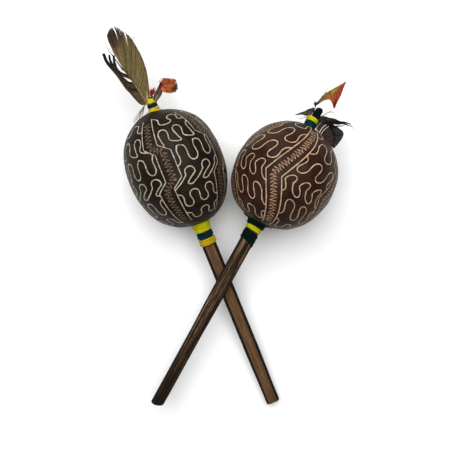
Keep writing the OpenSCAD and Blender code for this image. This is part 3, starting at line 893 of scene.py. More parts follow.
def add_coil(maraca, band, colour, material, slot, seed, gourd=None, rise=0.0, tilt=None,
             crown=False, foot=(), sideways=(0.0, 0.0), body=None, loose=0):
    """One length of thread wound side by side over the space of a CAD band, on a thin sleeve.

    With a gourd it carries on over the gourd's underside, for a rise in radius, and with a crown
    it closes over the tip. Foot is extra (radius, height) points below the band, and sideways how
    far its bottom and its top lie to one side. Body gives the band's own outline where it isn't
    the CAD one, and loose is the number of turns that lie aslant over it.
    """
    end, level = band
    node = f"{end}_thread_{level}"
    thread = THREAD[end]
    straight = band_middle(maraca, node, thread, gourd, rise, foot, body)
    profile = straight
    if crown:
        top_radius, top = straight[-1]
        profile = np.vstack([straight, (top_radius * 0.85, top + thread * 0.35),
                             (0.3, top + thread * 0.5)])
    paths = [winding(profile, thread, seed)] + list(loose_turns(straight, loose, thread, seed))
    vertices, travel, faces = np.empty((0, 3)), np.empty(0), []
    for path in paths:
        tube, run = wind(profile, *path, thread, sideways, tilt)
        first = len(vertices)
        last = first + len(tube) - TUBE_SIDES
        faces += ring_faces(len(path[0]), TUBE_SIDES, first)
        faces.append(tuple(range(first, first + TUBE_SIDES))[::-1])
        faces.append(tuple(range(last, last + TUBE_SIDES)))
        vertices = np.vstack([vertices, tube])
        travel = np.concatenate([travel, run])
    turn = np.tile(np.arange(TUBE_SIDES) / TUBE_SIDES, len(vertices) // TUBE_SIDES)
    sleeve = under_sleeve(profile, sideways, tilt)
    faces += ring_faces(len(sleeve) // SLEEVE_AROUND, SLEEVE_AROUND, len(vertices), closed=True)
    plain = np.zeros(len(sleeve))
    values = {"run": np.concatenate([travel, plain]), "turn": np.concatenate([turn, plain])}
    make_piece(f"{end}_{colour}_thread", maraca, np.vstack([vertices, sleeve]), faces, material,
               slot, node, values)


def add_coils(maraca, first_seed, coils):
    """Coils from the lowest band to the highest: colour, material, slot and what is special."""
    bands = [(end, level) for end in THREAD for level in ("low", "mid", "high")]
    for seed, (band, (colour, material, slot, special)) in enumerate(zip(bands, coils), first_seed):
        add_coil(maraca, band, colour, material, slot, seed, **special)


def under_sleeve(profile, sideways, tilt):
    """The turns underneath, as a closed sleeve, so that nothing shows between the top ones."""
    line = at_share(profile, np.linspace(0, 1, 14))
    line[:, 0] -= 0.25
    line[0, 1] -= 0.25
    line[-1, 1] += 0.1
    line = np.vstack([line, np.column_stack([np.maximum(line[::-1, 0] - 0.5, 0.1),
                                             line[::-1, 1]])])
    out = radials(np.arange(SLEEVE_AROUND) * 2 * math.pi / SLEEVE_AROUND)
    rings = []
    for radius, height in line:
        ring = out * radius
        level = np.full(SLEEVE_AROUND, height)
        if tilt is not None:
            level = level + tilt(level, out)
        ring[:, 0] += np.interp(level, profile[[0, -1], 1], sideways)
        ring[:, 2] = level
        rings.append(ring)
    return np.vstack(rings)


# ---------------------------------------------------------------- feathers and fine strands

BARB_THICKNESS = 0.13
SHAFT_FOOT = -3.0


class Plume:
    """Gathers many thin tapering barbs into one mesh, each with its own dye."""

    def __init__(self, maraca, depth, seed):
        self.maraca = maraca
        self.exit_z = maraca.exit_z
        self.depth = depth
        self.random = random.Random(seed)
        self.vertices = []
        self.faces = []
        self.dyes = []

    def lay(self, points):
        """(across, along) points at this feather's depth, along from where it leaves the thread."""
        flat = np.array(points, float)
        return np.stack([flat[:, 0], np.full(len(flat), self.depth, float),
                         flat[:, 1] + self.exit_z], axis=-1)

    def add(self, points, widths, thickness, dyes):
        """A strand with a lens-shaped section, flat across the stick."""
        points = np.asarray(points, float)
        along = np.gradient(points, axis=0)
        side = np.cross(along, (0, 1, 0))
        side /= np.maximum(np.linalg.norm(side, axis=1), 1e-6)[:, None]
        first = len(self.vertices) * 4
        half = np.asarray(widths)[:, None] / 2
        depth = np.zeros_like(points)
        depth[:, 1] = np.minimum(thickness, np.asarray(widths)) / 2
        ring = np.stack([points + side * half, points + depth,
                         points - side * half, points - depth], axis=1)
        self.vertices.extend(ring)
        self.faces.extend(ring_faces(len(points), 4, first))
        last = first + 4 * (len(points) - 1)
        self.faces.append((first + 3, first + 2, first + 1, first))
        self.faces.append((last, last + 1, last + 2, last + 3))
        self.dyes.extend(np.repeat(np.asarray(dyes, float), 4, axis=0))

    def barb(self, points, widths, dye, out, up, shade):
        """One barb, dyed by how far out from the stem it has come, and how far up it springs."""
        dyes = np.array([dye(share, up) for share in out])
        dyes[:, :3] *= shade
        self.add(points, widths, BARB_THICKNESS, dyes)

    def taper(self, line, thick, thin, depth, dye):
        """A strand in one colour that tapers evenly."""
        self.add(line, np.linspace(thick, thin, len(line)), depth, np.tile(dye, (len(line), 1)))

    def shaft(self, points, thick, thin, dye):
        """The feather's own stem, tapering from inside the thread to its tip."""
        line = smooth_curve(np.vstack([[points[0][0], SHAFT_FOOT], points]), 0.8)
        self.taper(self.lay(line), thick, thin, thick * 0.8, dye)

    def vane(self, stem, edge, barbs, dye, width=0.36, clumps=10, pull=0.3, sweep=0.0,
             bow=0.4, fray=0.04, slits=(), missing=(), steps=9):
        """Barbs from a stem to an outline.

        Sweep, 0 to 1, carries them along the outline towards the feather's tip. Clumps pull
        their tips together, which opens narrow gaps. Slits are (share up the stem, width) of
        gaps that widen outwards, and missing is the same for barbs that have fallen out.
        """
        rng = self.random
        stem_line = smooth_curve(self.lay(stem), 0.5)
        edge_line = smooth_curve(self.lay(edge), 0.5)
        breaks = [0.0] + sorted(rng.random() for _ in range(clumps - 1)) + [1.0]
        pulls = [rng.uniform(0.2, 1.6) * pull for _ in range(clumps)]
        depths = [rng.uniform(-0.4, 0.4) for _ in range(clumps)]
        tints = [rng.uniform(0.78, 1.12) for _ in range(clumps)]
        t = np.linspace(0, 1, steps)
        outward = 1 - (1 - t) ** 1.6
        for i in range(barbs):
            share = (i + rng.uniform(0.2, 0.8)) / barbs
            clump = max(k for k in range(clumps) if breaks[k] <= share)
            low, high = breaks[clump], breaks[clump + 1]
            shift = ((low + high) / 2 - share) * pulls[clump] * t ** 3
            for place, gap in slits:
                away = share - place
                shift += math.copysign(gap, away) * max(0, 1 - abs(away) / (5 * gap)) * t ** 1.7
            end = share ** (1 - sweep)
            on_edge = np.clip(share + (end - share) * t + shift, 0, 1)
            outer = at_share(edge_line, on_edge)
            inner = at_share(stem_line, np.clip(share + 0.05 * t, 0, 1))
            reach = outward[:, None] * (1 + rng.uniform(-1.5, 0.6) * fray)
            points = inner + (outer - inner) * reach
            points[:, 1] += depths[clump] * t - bow * np.sin(t * math.pi * 0.6)
            points[:, 1] += rng.uniform(-0.08, 0.08)
            widths = width * (1 - 0.5 * t ** 3)
            widths[-1] *= 0.3
            shade = rng.uniform(0.75, 1.2) * tints[clump]
            # painted shade: barbs at the edges of a clump, beside the gaps, are darker
            if min(share - low, high - share) < 0.1 * (high - low):
                shade *= 0.6
            if not any(abs(share - place) < gap / 2 for place, gap in missing):
                self.barb(points, widths, dye, t, share, shade)

    def bundle(self, roots, route, barbs, spread, dye, width=0.4, fray=0.12):
        """Barbs that leave a stretch of the stem and hold together in one ragged finger."""
        rng = self.random
        low, high = self.lay(roots)
        line = smooth_curve(self.lay(route), 0.5)
        t = np.linspace(0, 1, 20)
        centre = at_share(line, t)
        side = np.cross((0, 1, 0), np.gradient(centre, axis=0))
        side /= np.linalg.norm(side, axis=1)[:, None]
        breadth = np.interp(t, [0, 0.5, 1], spread)
        for _ in range(barbs):
            lane = rng.uniform(-0.5, 0.5)
            root = (low + high) / 2 + (high - low) * lane
            reach = 1 - rng.random() ** 2 * fray
            points = at_share(centre + side * (lane * breadth)[:, None], t * reach)
            points = root + (points - root) * smooth_step(t, -0.02, 0.22)[:, None]
            points[:, 1] += rng.uniform(-0.2, 0.2) - 0.4 * np.sin(t * math.pi)
            widths = width * (1 - 0.55 * t ** 3)
            self.barb(points, widths, dye, t, lane + 0.5, rng.uniform(0.7, 1.2))

    def stain(self, point, radius, dye):
        """Dyes what has been made so far round an (across, along) point."""
        places = np.array(self.vertices).reshape(-1, 3)
        away = np.hypot(places[:, 0] - point[0], places[:, 2] - point[1] - self.exit_z)
        share = (1 - smooth_step(away, 0.3 * radius, radius))[:, None]
        dyes = np.array(self.dyes)
        lightness = dyes[:, :3].mean(1, keepdims=True) / dyes[:, :3].mean()
        lightness = np.clip(lightness, 0.5, 1.6)
        target = np.array(dye) * np.hstack([lightness] * 3 + [np.ones_like(lightness)])
        self.dyes = list(dyes * (1 - share) + target * share)

    def rim(self, edge, width, dye):
        """The stiff dark barbs that bound a vane."""
        self.taper(smooth_curve(self.lay(edge), 0.8), width, width * 0.5, 0.2, dye)

    def tuft(self, start, end, reach, barbs, dye, width=0.26):
        """A soft ball of fine curling barbs that spring from a short stem."""
        rng = self.random
        start, end = np.array(start, float), np.array(end, float)
        for _ in range(barbs):
            share = rng.random()
            root = start + (end - start) * share + (0, 0, self.exit_z)
            turn = rng.uniform(0, 2 * math.pi)
            way = np.array([math.cos(turn), 0.7 * math.sin(turn), rng.uniform(-0.5, 1.0)])
            curl = np.array([rng.uniform(-1, 1), rng.uniform(-0.6, 0.6), rng.uniform(-1, 0.6)])
            size = reach * rng.uniform(0.5, 1.0)
            shares = np.linspace(0, 1, 6)[:, None]
            points = root + size * (way * shares + 0.45 * curl * shares ** 2)
            widths = width * (1 - 0.6 * shares[:, 0])
            self.barb(points, widths, dye, shares[:, 0], share, rng.uniform(0.7, 1.3))

    def strand(self, route, thick, thin, dye):
        """A fine strand along (across, depth, along) points."""
        line = smooth_curve(route, 0.7)
        line[:, 2] += self.exit_z
        self.taper(line, thick, thin, thick, dye)

    def stray_barbs(self, depth, routes, dye):
        """Fine strands along (across, along) points, all at one depth."""
        for route in routes:
            self.strand([(x, depth, z) for x, z in route], 0.45, 0.2, dye)

    def piece(self, name, slot, node):
        """Closes the plume: it stands for one CAD node."""
        vertices = np.array(self.vertices).reshape(-1, 3)
        make_piece(name, self.maraca, vertices, self.faces, PLUMAGE, slot, node,
                   colours=self.dyes)


def shades(foot, tip, foot_edge, tip_edge, hold=0.6):
    """A dye that changes up the feather, and towards the barbs' ends once past hold."""
    foot, tip, foot_edge, tip_edge = (np.array(c) for c in (foot, tip, foot_edge, tip_edge))

    def dye(out, up):
        inner = foot * (1 - up) + tip * up
        outer = foot_edge * (1 - up) + tip_edge * up
        turn = smooth_step(out, hold, 1.0)
        return inner * (1 - turn) + outer * turn
    return dye


def banded(*stops):
    """A dye of (share out from the stem, colour) stops."""
    places = [place for place, _ in stops]
    colours = np.array([colour for _, colour in stops])

    def dye(out, up):
        return np.array([np.interp(out, places, channel) for channel in colours.T])
    return dye


OLIVE = srgb(122, 106, 66)
OLIVE_GREY = srgb(100, 88, 70)
DRAB = srgb(102, 86, 60)
BARK = srgb(74, 60, 44)
SOOT = srgb(26, 20, 16)
NIGHT = srgb(14, 13, 15)
SLATE = srgb(46, 47, 54)
UMBER = srgb(62, 47, 38)
CREAM = srgb(206, 186, 156)
STRAW = srgb(160, 138, 100)
ROSE = srgb(178, 84, 68)
RUST = srgb(178, 92, 42)
EMBER = srgb(170, 52, 24)
FLAME = srgb(166, 38, 14)
BLOOD = srgb(96, 14, 12)
GOLD = srgb(166, 136, 40)
HONEY = srgb(142, 106, 66)
PINE = srgb(38, 42, 18)
BERRY = srgb(178, 34, 48)
DAWN = srgb(160, 84, 62)


# ---------------------------------------------------------------- the left maraca's feathers

def add_left_long_feather(left):
    """A long olive flight feather, its far vane torn into ragged dark fingers."""
    plume = Plume(left, 0.6, 11)
    stem = [(-3.7, 2.4), (-7.2, 20), (-9.9, 29), (-12.6, 46.0), (-16.8, 60.0)]
    plume.shaft([(-3.05, 0.0)] + stem, 1.1, 0.25, STRAW)
    near = [(-1.2, 3.0), (0.4, 6.5), (2.8, 13), (5.7, 24), (6.8, 31), (6.9, 40), (5.8, 50),
            (4.6, 56), (2.6, 60), (-0.6, 64.4), (-2.7, 68.2), (-5.9, 69.6), (-10.3, 68),
            (-12.9, 65), (-13.7, 60), (-13.4, 53)]
    plume.vane(stem[:4], near, 640, shades(OLIVE, DRAB, SOOT, SOOT, 0.86), width=0.42,
               clumps=30, pull=0.12, sweep=0.22, fray=0.03, steps=13,
               slits=((0.72, 0.011), (0.66, 0.005), (0.58, 0.008), (0.86, 0.004)))
    plume.stain((-11.5, 61), 13, UMBER)
    plume.stain((-4.5, 64), 8, BARK)
    plume.rim(near[:10], 0.5, SOOT)
    far = [(-5.2, 0.6), (-7.4, 2.0), (-9.4, 3.9), (-12.2, 10.7), (-14.2, 17.2), (-15.0, 21.5)]
    plume.vane(stem[:2], far, 240, shades(DRAB, BARK, SOOT, SOOT, 0.55), width=0.46,
               clumps=9, pull=0.12, sweep=0.42, fray=0.02, steps=13)
    plume.rim(far[1:], 0.6, SOOT)
    dark = shades(BARK, SOOT, SOOT, NIGHT, 0.25)
    plume.bundle([(-5.2, 10.5), (-6.6, 17)],
                 [(-6.4, 14.5), (-11.2, 14.8), (-13.8, 19), (-15.3, 25), (-16.7, 31),
                  (-18.6, 36.8), (-20.8, 42.6), (-21.7, 47.5), (-21.2, 52.6)],
                 130, (3.2, 2.7, 2.2), dark, 0.5, 0.16)
    plume.bundle([(-6.4, 16), (-8.0, 23.5)],
                 [(-7.0, 19.5), (-10.2, 20.6), (-13.0, 25), (-15.4, 30.6), (-17.0, 36),
                  (-18.2, 42), (-18.3, 46), (-17.2, 50.0)],
                 100, (3.2, 2.3, 1.6), dark, 0.5, 0.18)
    plume.bundle([(-8.1, 24), (-9.9, 29.5)],
                 [(-8.8, 27.0), (-12.0, 29.8), (-15.1, 33.4), (-16.4, 38), (-15.7, 43.4),
                  (-14.0, 48.2)],
                 84, (2.4, 2.2, 1.7), dark, 0.5, 0.18)
    plume.bundle([(-9.6, 29), (-11.2, 36)],
                 [(-10.4, 33), (-12.2, 37), (-13.6, 43), (-15.6, 50), (-17.6, 57.6)],
                 14, (1.2, 0.6, 0.3), dark, fray=0.3)
    plume.stray_barbs(0.3, ([(-21.4, 49), (-22.6, 51.2), (-21.9, 53.4)],
                            [(-14.4, 46), (-14.9, 49.6)], [(-15.8, 39.6), (-14.2, 41.4)],
                            [(-12, 33.8), (-12.8, 37.4)]), SOOT)
    plume.strand([(-2.0, 0.2, -2), (-2.2, 0.2, 4), (-0.9, 0.0, 7.5), (0, 0.0, 10.6)],
                 1.0, 0.5, CREAM)
    plume.tuft((-3.6, 0.4, 1.5), (-4.8, 0.4, 4.5), 2.0, 60, shades(ROSE, STRAW, BARK, BARK))
    plume.stray_barbs(0.3, ([(5, 53), (6.8, 54.6), (8.5, 55.5)], [(6.6, 54.4), (7.6, 57.2)],
                            [(2, 61), (2.4, 63.4), (3.4, 66)], [(-4.8, 68.6), (-4.4, 71)]), BARK)
    plume.piece("long_flight_feather", "feather_olive", "long_feather")


def add_left_orange_feather(left):
    """A small feather: a dark narrow neck, then a soft orange fan with green-black tips."""
    plume = Plume(left, -0.85, 12)
    stem = [(3.0, 0.0), (7.5, 4.6), (12.2, 8.3), (17.5, 9.6), (21.5, 9.0)]
    plume.shaft(stem, 0.9, 0.3, STRAW)
    upper_neck = [(2.6, 1.5), (4.6, 5.6), (8.6, 9.0), (12.6, 12.8), (14.4, 15.4)]
    plume.vane(stem[:3], upper_neck, 120, shades(OLIVE_GREY, BARK, SOOT, PINE, 0.45), clumps=5)
    plume.rim(upper_neck, 0.6, SOOT)
    lower_neck = [(4.2, -0.8), (6.2, 0.9), (9.6, 3.0), (12.4, 5.6)]
    plume.vane(stem[:3], lower_neck, 110, shades(OLIVE_GREY, BARK, BERRY, BLOOD, 0.5), clumps=4)
    upper_fan = [(11.8, 9.3), (14.4, 13.6), (17.2, 15.6), (20.4, 14.4), (23.6, 12.9), (26, 11.6),
                 (26.6, 9)]
    plume.vane(stem[1:], upper_fan, 320, shades(DAWN, RUST, EMBER, RUST, 0.4), width=0.4,
               clumps=12, pull=0.3, fray=0.12, bow=0.9)
    lower_fan = [(12.4, 6.2), (15.6, 3.4), (19.6, 2.1), (23.6, 2.3), (25.4, 4.4), (26.4, 8.4)]
    plume.vane(stem[2:], lower_fan, 320, shades(RUST, RUST, EMBER, OLIVE, 0.62), width=0.4,
               clumps=12, pull=0.35, fray=0.13, bow=0.9)
    plume.stain((24.4, 2.8), 6.8, PINE)
    plume.stain((12.6, 12.6), 4.0, BLOOD)
    plume.rim(upper_fan[:3], 0.5, BLOOD)
    plume.strand([(15.4, -1.9, 8.2), (17.4, -2.1, 9.6), (20.4, -2.0, 9.6)], 1.0, 0.4, DAWN)
    plume.strand([(16.4, -2.3, 9.0), (18.4, -2.3, 9.7)], 0.5, 0.2, CREAM)
    plume.strand([(12.8, -1, 14.2), (15.4, -1.3, 16), (17, -1.3, 16.4)], 0.4, 0.2, SOOT)
    plume.piece("orange_fan_feather", "feather_orange", "orange_feather")


def add_left_red_tuft(left):
    """A ball of red down on a dark foot, just past the end of the thread."""
    plume = Plume(left, 2.3, 13)
    plume.strand([(2.1, 2.3, -3), (2.1, 2.3, 0.5), (3.2, 1.6, 5)], 0.7, 0.4, CREAM)
    plume.tuft((0.2, 2.2, 1.0), (2.6, 1.4, 6.5), 2.4, 280, shades(PINE, SOOT, BARK, BARK))
    plume.tuft((3.2, 0.6, 7.0), (5.0, 0.4, 10.0), 3.1, 460, shades(BERRY, BERRY, FLAME, ROSE))
    plume.piece("red_down_tuft", "feather_red", "red_tuft")


def add_left_strands(left):
    """Stripped barbs, most of them pale, that hang from the binding over the gourd."""
    plume = Plume(left, 0, 14)
    routes = [[(-2.2, -2.2, -3), (-2.2, -2.2, 0.6), (-6, -2.7, 0.5), (-13, -3, -4.6),
               (-19.6, -3, -9.2)],
              [(-1.4, -2.8, -3), (-1.4, -2.8, 0.6), (-6, -3.8, 0.4), (-11, -4, -3),
               (-17.2, -4, -8.2)],
              [(-2.8, -1.4, -3), (-2.8, -1.4, 0.6), (-7, -1.6, 0.4), (-14.4, -1.4, -6.8)]]
    for route, dye in zip(routes, (STRAW, STRAW, HONEY)):
        plume.strand(route, 1.05, 0.5, dye)
    for shift, drop in ((1.0, -2.2), (-0.8, 1.2), (1.8, -3.4)):
        route = [(x + shift * (i > 2), y + 0.4 * shift, z + drop * (i > 2) * 0.6)
                 for i, (x, y, z) in enumerate(routes[0])]
        plume.strand(route, 0.75, 0.3, HONEY if shift > 1.5 else BARK)
    plume.piece("hanging_barbs", "quill", "quill_strands")


# ---------------------------------------------------------------- the right maraca's feathers

def add_right_orange_feather(right):
    """A pointed feather, gold on one side and flame red on the other, with a hanging point."""
    plume = Plume(right, 1.4, 21)
    stem = [(-3.9, 0.0), (-3.6, 6.4), (-4.1, 9.3), (-2.9, 12.6), (0.2, 18.4), (4.6, 26.4),
            (8.6, 38.7)]
    plume.shaft(stem, 0.9, 0.3, HONEY)
    vane_stem = stem[2:]
    gold = [(-4.9, 9.8), (-4.3, 12.8), (-3.5, 16.4), (-2.3, 21), (0, 25.2), (3.6, 31), (8.4, 38.6)]
    plume.vane(vane_stem, gold, 280, shades(HONEY, GOLD, OLIVE, GOLD, 0.35), clumps=8,
               pull=0.06, sweep=0.15)
    plume.rim(gold[:6], 0.35, BARK)
    inner = [(-3.3, 9.8), (-2.0, 12.4), (-0.6, 15.2), (1.8, 17.8), (5, 19.6), (6.5, 18.9),
             (8.9, 15.9), (10.9, 14.2), (10.6, 20.5), (10.4, 26.4), (9.5, 32.2), (8.7, 38.4)]
    plume.vane(vane_stem, inner, 460, shades(HONEY, EMBER, FLAME, FLAME, 0.3), width=0.4,
               clumps=12, pull=0.06, fray=0.02, steps=10)
    plume.vane([(7.2, 27), (8.4, 22)], [(10.4, 14.4), (11.2, 15.6)], 50,
               shades(FLAME, FLAME, BLOOD, BLOOD, 0.6), width=0.45, clumps=2)
    plume.stain((10.6, 14.0), 7.5, BLOOD)
    plume.stain((-4.0, 9.0), 6.5, UMBER)
    plume.tuft((-4.4, 1.3, 8.6), (-5.8, 1.1, 11.0), 1.7, 110, shades(SOOT, SOOT, SOOT, BLOOD))
    for x, z, to_x, to_z in ((-3.1, 18, -4.2, 20.6), (-2.4, 21, -3.4, 24.4), (-2, 22, -2.4, 27)):
        plume.strand([(x, 1.3, z), ((x + to_x) / 2, 1.2, (z + to_z) / 2 + 0.2),
                      (to_x, 1.0, to_z)], 0.45, 0.15, PINE)
    plume.piece("pointed_feather", "feather_orange", "orange_feather")


def add_right_olive_feather(right):
    """A small drab feather bent out sideways over the gourd."""
    plume = Plume(right, -1.1, 22)
    stem = [(-4.0, 0.0), (-4.6, 3.4), (-7.2, 1.2), (-11.2, -2.2), (-15.8, -6.6)]
    plume.shaft(stem, 0.8, 0.25, BARK)
    plume.vane(stem[:2], [(-4.8, -1.6), (-6.4, -2.0), (-8.6, -2.4)], 70,
               shades(BARK, BARK, SOOT, SOOT, 0.5), clumps=4)
    upper = [(-3.4, 6.8), (-5.6, 5.2), (-8.2, 2.9), (-10, 0.1), (-12.9, -3.0), (-15.8, -6.5)]
    plume.vane(stem[1:], upper, 170, shades(BARK, BARK, SOOT, SOOT, 0.45), clumps=5, sweep=0.1)
    plume.tuft((-4.2, -1.0, 2.4), (-5.0, -0.6, 5.6), 1.9, 120, shades(BARK, BARK, SOOT, SOOT))
    plume.rim(upper, 0.5, SOOT)
    lower = [(-3.8, 1.4), (-4.7, -1.3), (-8.0, -2.9), (-11.1, -3.7), (-15.7, -6.7)]
    plume.vane(stem[1:], lower, 170, shades(OLIVE_GREY, BARK, SOOT, SOOT, 0.55), clumps=5,
               sweep=0.1)
    plume.rim(lower, 0.5, SOOT)
    plume.piece("drab_feather", "feather_olive", "olive_feather")


def add_right_forked_feather(right):
    """A dark feather whose end has parted into two frayed points."""
    plume = Plume(right, -0.5, 23)
    stem = [(4.1, 0.0), (6.4, 1.9), (11.5, 3.0), (17.0, 4.6)]
    plume.shaft(stem, 0.9, 0.4, BARK)
    top = [(4.4, 2.6), (7.6, 4.3), (10.6, 4.7), (15.3, 6.4), (20, 6.7), (24.7, 8.4),
           (29.4, 9.3)]
    plume.vane(stem, top, 280, shades(UMBER, UMBER, SOOT, NIGHT, 0.5), clumps=6, pull=0.3,
               sweep=0.2, fray=0.06)
    plume.rim(top, 0.9, NIGHT)
    fork = [(14.5, 0.6), (17.4, 2.2), (20.6, 4.0), (25.9, 7.3), (31.2, 7.5)]
    plume.vane(stem, fork, 220, shades(SOOT, SOOT, NIGHT, NIGHT, 0.3), clumps=7, pull=0.45,
               sweep=0.3, fray=0.1, missing=((0.62, 0.05), (0.8, 0.06)))
    plume.bundle([(11, 2.6), (14, 3.2)], [(13, 2), (17.4, 0.2), (21, 2.6), (25.6, 5.4)],
                 26, (1.2, 0.9, 0.3), shades(SOOT, NIGHT, NIGHT, NIGHT))
    low = [(5.2, -0.8), (8.6, -0.9), (12.6, -0.2), (16.5, 0.2)]
    plume.vane(stem, low, 160, shades(UMBER, SOOT, SOOT, SLATE, 0.5), clumps=3)
    plume.strand([(20, -0.6, 5.4), (26, -0.7, 8.0), (29, -0.8, 8.6), (33.4, -0.8, 6.6)],
                 1.1, 0.3, NIGHT)
    plume.piece("parted_feather", "feather_dark", "forked_feather")


def add_right_round_feather(right):
    """A broad brown feather that curls down over the gourd to a rounded black end."""
    plume = Plume(right, 1.9, 24)
    stem = [(3.7, 0.0), (6.4, 0.6), (11.5, 0.0), (16.4, -0.8), (20.8, -4.2), (23.6, -8.0),
            (26.3, -15.0)]
    plume.shaft(stem, 1.2, 0.8, NIGHT)
    outer = [(6.0, 2.0), (11.0, 1.6), (15.3, 1.0), (19.6, 1.6), (23, 1.1), (27.1, 0.2),
             (28.7, -3.1), (28.4, -9), (27.1, -15.1)]
    plume.vane(stem, outer, 340, banded((0, NIGHT), (0.08, SLATE), (0.35, SLATE), (0.6, UMBER),
                                        (0.85, UMBER), (1, NIGHT)), width=0.45, clumps=9,
               pull=0.05)
    plume.rim(outer[2:], 1.3, NIGHT)
    inner = [(4.7, -2.0), (4.7, -7.2), (10.0, -9.4), (15.6, -11.6), (21.0, -13.6),
             (26.0, -15.2)]
    plume.vane(stem, inner, 420, banded((0, NIGHT), (0.12, UMBER), (0.8, UMBER), (1, SLATE)),
               width=0.45, clumps=14, pull=0.2, sweep=0.3, steps=10,
               missing=((0.13, 0.02), (0.27, 0.026), (0.35, 0.022), (0.62, 0.012)))
    plume.piece("round_ended_feather", "feather_brown", "round_feather")


def add_right_wisps(right):
    """Thin dark barbs that stick out of the binding, and two paler ones over the gourd."""
    plume = Plume(right, 0, 25)
    plume.strand([(2.9, -3, -3), (2.9, -3, 0.6), (5.3, -2.9, 4), (8.3, -2.9, 8.7),
                  (12.1, -2.9, 10.8)], 0.8, 0.4, SOOT)
    plume.strand([(8.1, -2.9, 8.5), (9.2, -2.9, 11.2)], 0.4, 0.2, SOOT)
    plume.tuft((2.6, -0.6, -0.5), (4.6, 0.4, 2.2), 1.7, 110, shades(SOOT, SOOT, UMBER, UMBER))
    plume.strand([(-2.9, -3, -3), (-2.9, -3, 0.6), (-4.6, -2.8, 9), (-7.6, -3, 12.2)],
                 0.8, 0.3, SOOT)
    for z, dye in ((0.0, HONEY), (-1.4, OLIVE_GREY)):
        plume.strand([(-2.6, -3.4, z - 1), (-6.4, -3.8, z - 2.4), (-9.4, -4, z - 6),
                      (-13.8, -4.4, z - 6.8)], 0.45, 0.2, dye)
    plume.piece("dark_wisps", "feather_dark", "wisps")


# ---------------------------------------------------------------- putting it together

def left_tip_lean(height, out):
    """The lowest turns at the left tip follow the gourd's sloping shoulder."""
    return -1.3 * smooth_step(285.5 - height, 0, 2.5) * smooth_step(out[:, 0], -0.5, 1)


def right_tip_lean(height, out):
    """The bands at the right tip have slipped down, most at the front."""
    slip = np.interp(height, [281, 286, 290], [-1.7, -1.5, -0.2])
    return slip - np.interp(height, [280, 286, 291], [1.3, 1.1, 0.0]) * out[:, 1] * 0.8


def add_left_maraca():
    """The black gourd on the flat-faced stick."""
    left = Maraca("left")
    skin = gourd_shader("left_gourd_skin", srgb(15, 12, 9), srgb(39, 31, 23),
                        srgb(192, 180, 156), srgb(134, 118, 94), srgb(122, 98, 74), 3.1)
    gourd = Gourd(left, -1.45, 0.0, 1.7)
    lines, stitches = ornament(gourd, -18, (-44, -13, -6, 17, 24, 45), (0, 0, 13, 13, 0, 0),
                               [(-39.5, 3.8), (-25, 7), (-7.5, 7.6), (10.5, 7.6), (27.5, 6.8),
                                (41, 3.6)], 31)
    add_gourd(gourd, lines, stitches, 0.8, skin, "gourd_black", 3)
    wood = wood_shader("left_stick_wood", srgb(108, 80, 54), srgb(44, 30, 20),
                       srgb(132, 102, 72), (4.3, 4.9), 0.5, 0.35, 0.2)
    add_stick(left, "split_palm_stick", wood, "palm_brown", 165, 0.2, 0.0, 5)
    add_coils(left, 1, [
        ("ochre", OCHRE, "thread_ochre", {"loose": 4}),
        ("blue", BLUE, "thread_blue", {"loose": 1}),
        ("yellow", YELLOW, "thread_yellow", {"gourd": gourd, "rise": 1.4, "loose": 3}),
        ("ochre", PALE_OCHRE, "thread_ochre",
         {"foot": [(7.2, 282.2), (6.2, 282.9), (5.3, 283.5)], "tilt": left_tip_lean}),
        ("teal", TEAL, "thread_blue", {}),
        ("yellow", YELLOW, "thread_yellow",
         {"crown": True, "body": [(3.3, 288.9), (3.4, 290.2), (3.2, 291.4), (2.7, 292.9)]})])
    add_left_long_feather(left)
    add_left_orange_feather(left)
    add_left_red_tuft(left)
    add_left_strands(left)


def right_neck_lean(height, out):
    """The lower bands on the right neck lie askew, and sag a little in the middle."""
    askew = np.interp(height, [164.5, 174, 184], [-1.9, -0.7, 0.0])
    arch = np.interp(height, [164.5, 180, 186], [1.2, 1.0, 0.0])
    return askew * out[:, 0] - arch * out[:, 1]


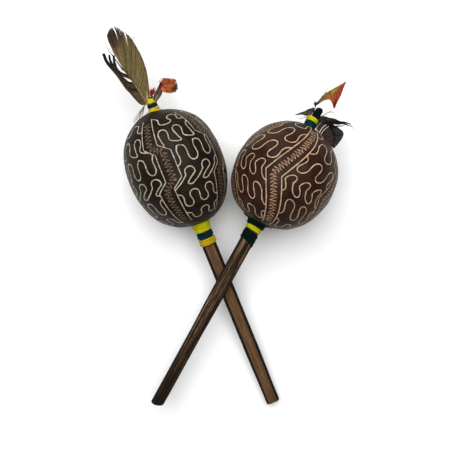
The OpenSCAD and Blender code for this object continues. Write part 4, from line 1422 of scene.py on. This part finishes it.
def add_right_maraca():
    """The red-brown gourd on the round stick."""
    right = Maraca("right")
    skin = gourd_shader("right_gourd_skin", srgb(34, 15, 9), srgb(58, 36, 25),
                        srgb(194, 164, 132), srgb(146, 116, 88), srgb(182, 146, 114), 2.9)
    gourd = Gourd(right, 1.35, 0.02, heel=1.8)
    lines, stitches = ornament(gourd, -4, (-44, -4, 45), (20, -10, 16),
                               [(-38.5, 4), (-23.5, 7.2), (-5.5, 7.8), (12.5, 7.8), (29.5, 6.8),
                                (42, 3.2)], 32)
    add_gourd(gourd, lines, stitches, 0.9, skin, "gourd_brown", 9)
    wood = wood_shader("right_stick_wood", srgb(72, 54, 38), srgb(20, 13, 9),
                       srgb(136, 112, 82), (4.9, 6.2), 0.9, 0.75, 0.75)
    add_stick(right, "round_palm_stick", wood, "palm_dark", 170, 0.26, 0.27, 8)
    add_coils(right, 7, [
        ("green", GREEN, "thread_green", {"tilt": right_neck_lean, "loose": 5}),
        ("yellow", YELLOW, "thread_yellow", {"tilt": right_neck_lean, "loose": 3}),
        ("dark", GREEN, "thread_green",
         {"gourd": gourd, "rise": 5.6, "tilt": right_neck_lean, "loose": 3,
          "body": [(7.85, 178.8), (8.0, 180.4), (8.3, 182.0), (9.1, 183.9)]}),
        ("teal", TEAL, "thread_blue", {"tilt": right_tip_lean, "sideways": (-0.4, -0.9)}),
        ("yellow", YELLOW, "thread_yellow", {"tilt": right_tip_lean, "sideways": (-0.9, -0.9)}),
        ("dark", GREEN, "thread_green",
         {"crown": True, "tilt": right_tip_lean, "foot": [(3.1, 285.6)],
          "sideways": (0.0, 0.7)})])
    add_right_orange_feather(right)
    add_right_olive_feather(right)
    add_right_forked_feather(right)
    add_right_round_feather(right)
    add_right_wisps(right)


def dress_hidden_parts():
    """The resin and the seeds keep their CAD shapes, and get their own materials."""
    resin = resin_shader()
    seed = seed_shader()
    for name, node in frame["nodes"].items():
        if name.endswith("_resin") or "_seeds_" in name:
            node.data.materials.clear()
            node.data.materials.append(resin if name.endswith("_resin") else seed)


add_camera()
add_floor()
light_the_studio()
add_left_maraca()
add_right_maraca()
dress_hidden_parts()
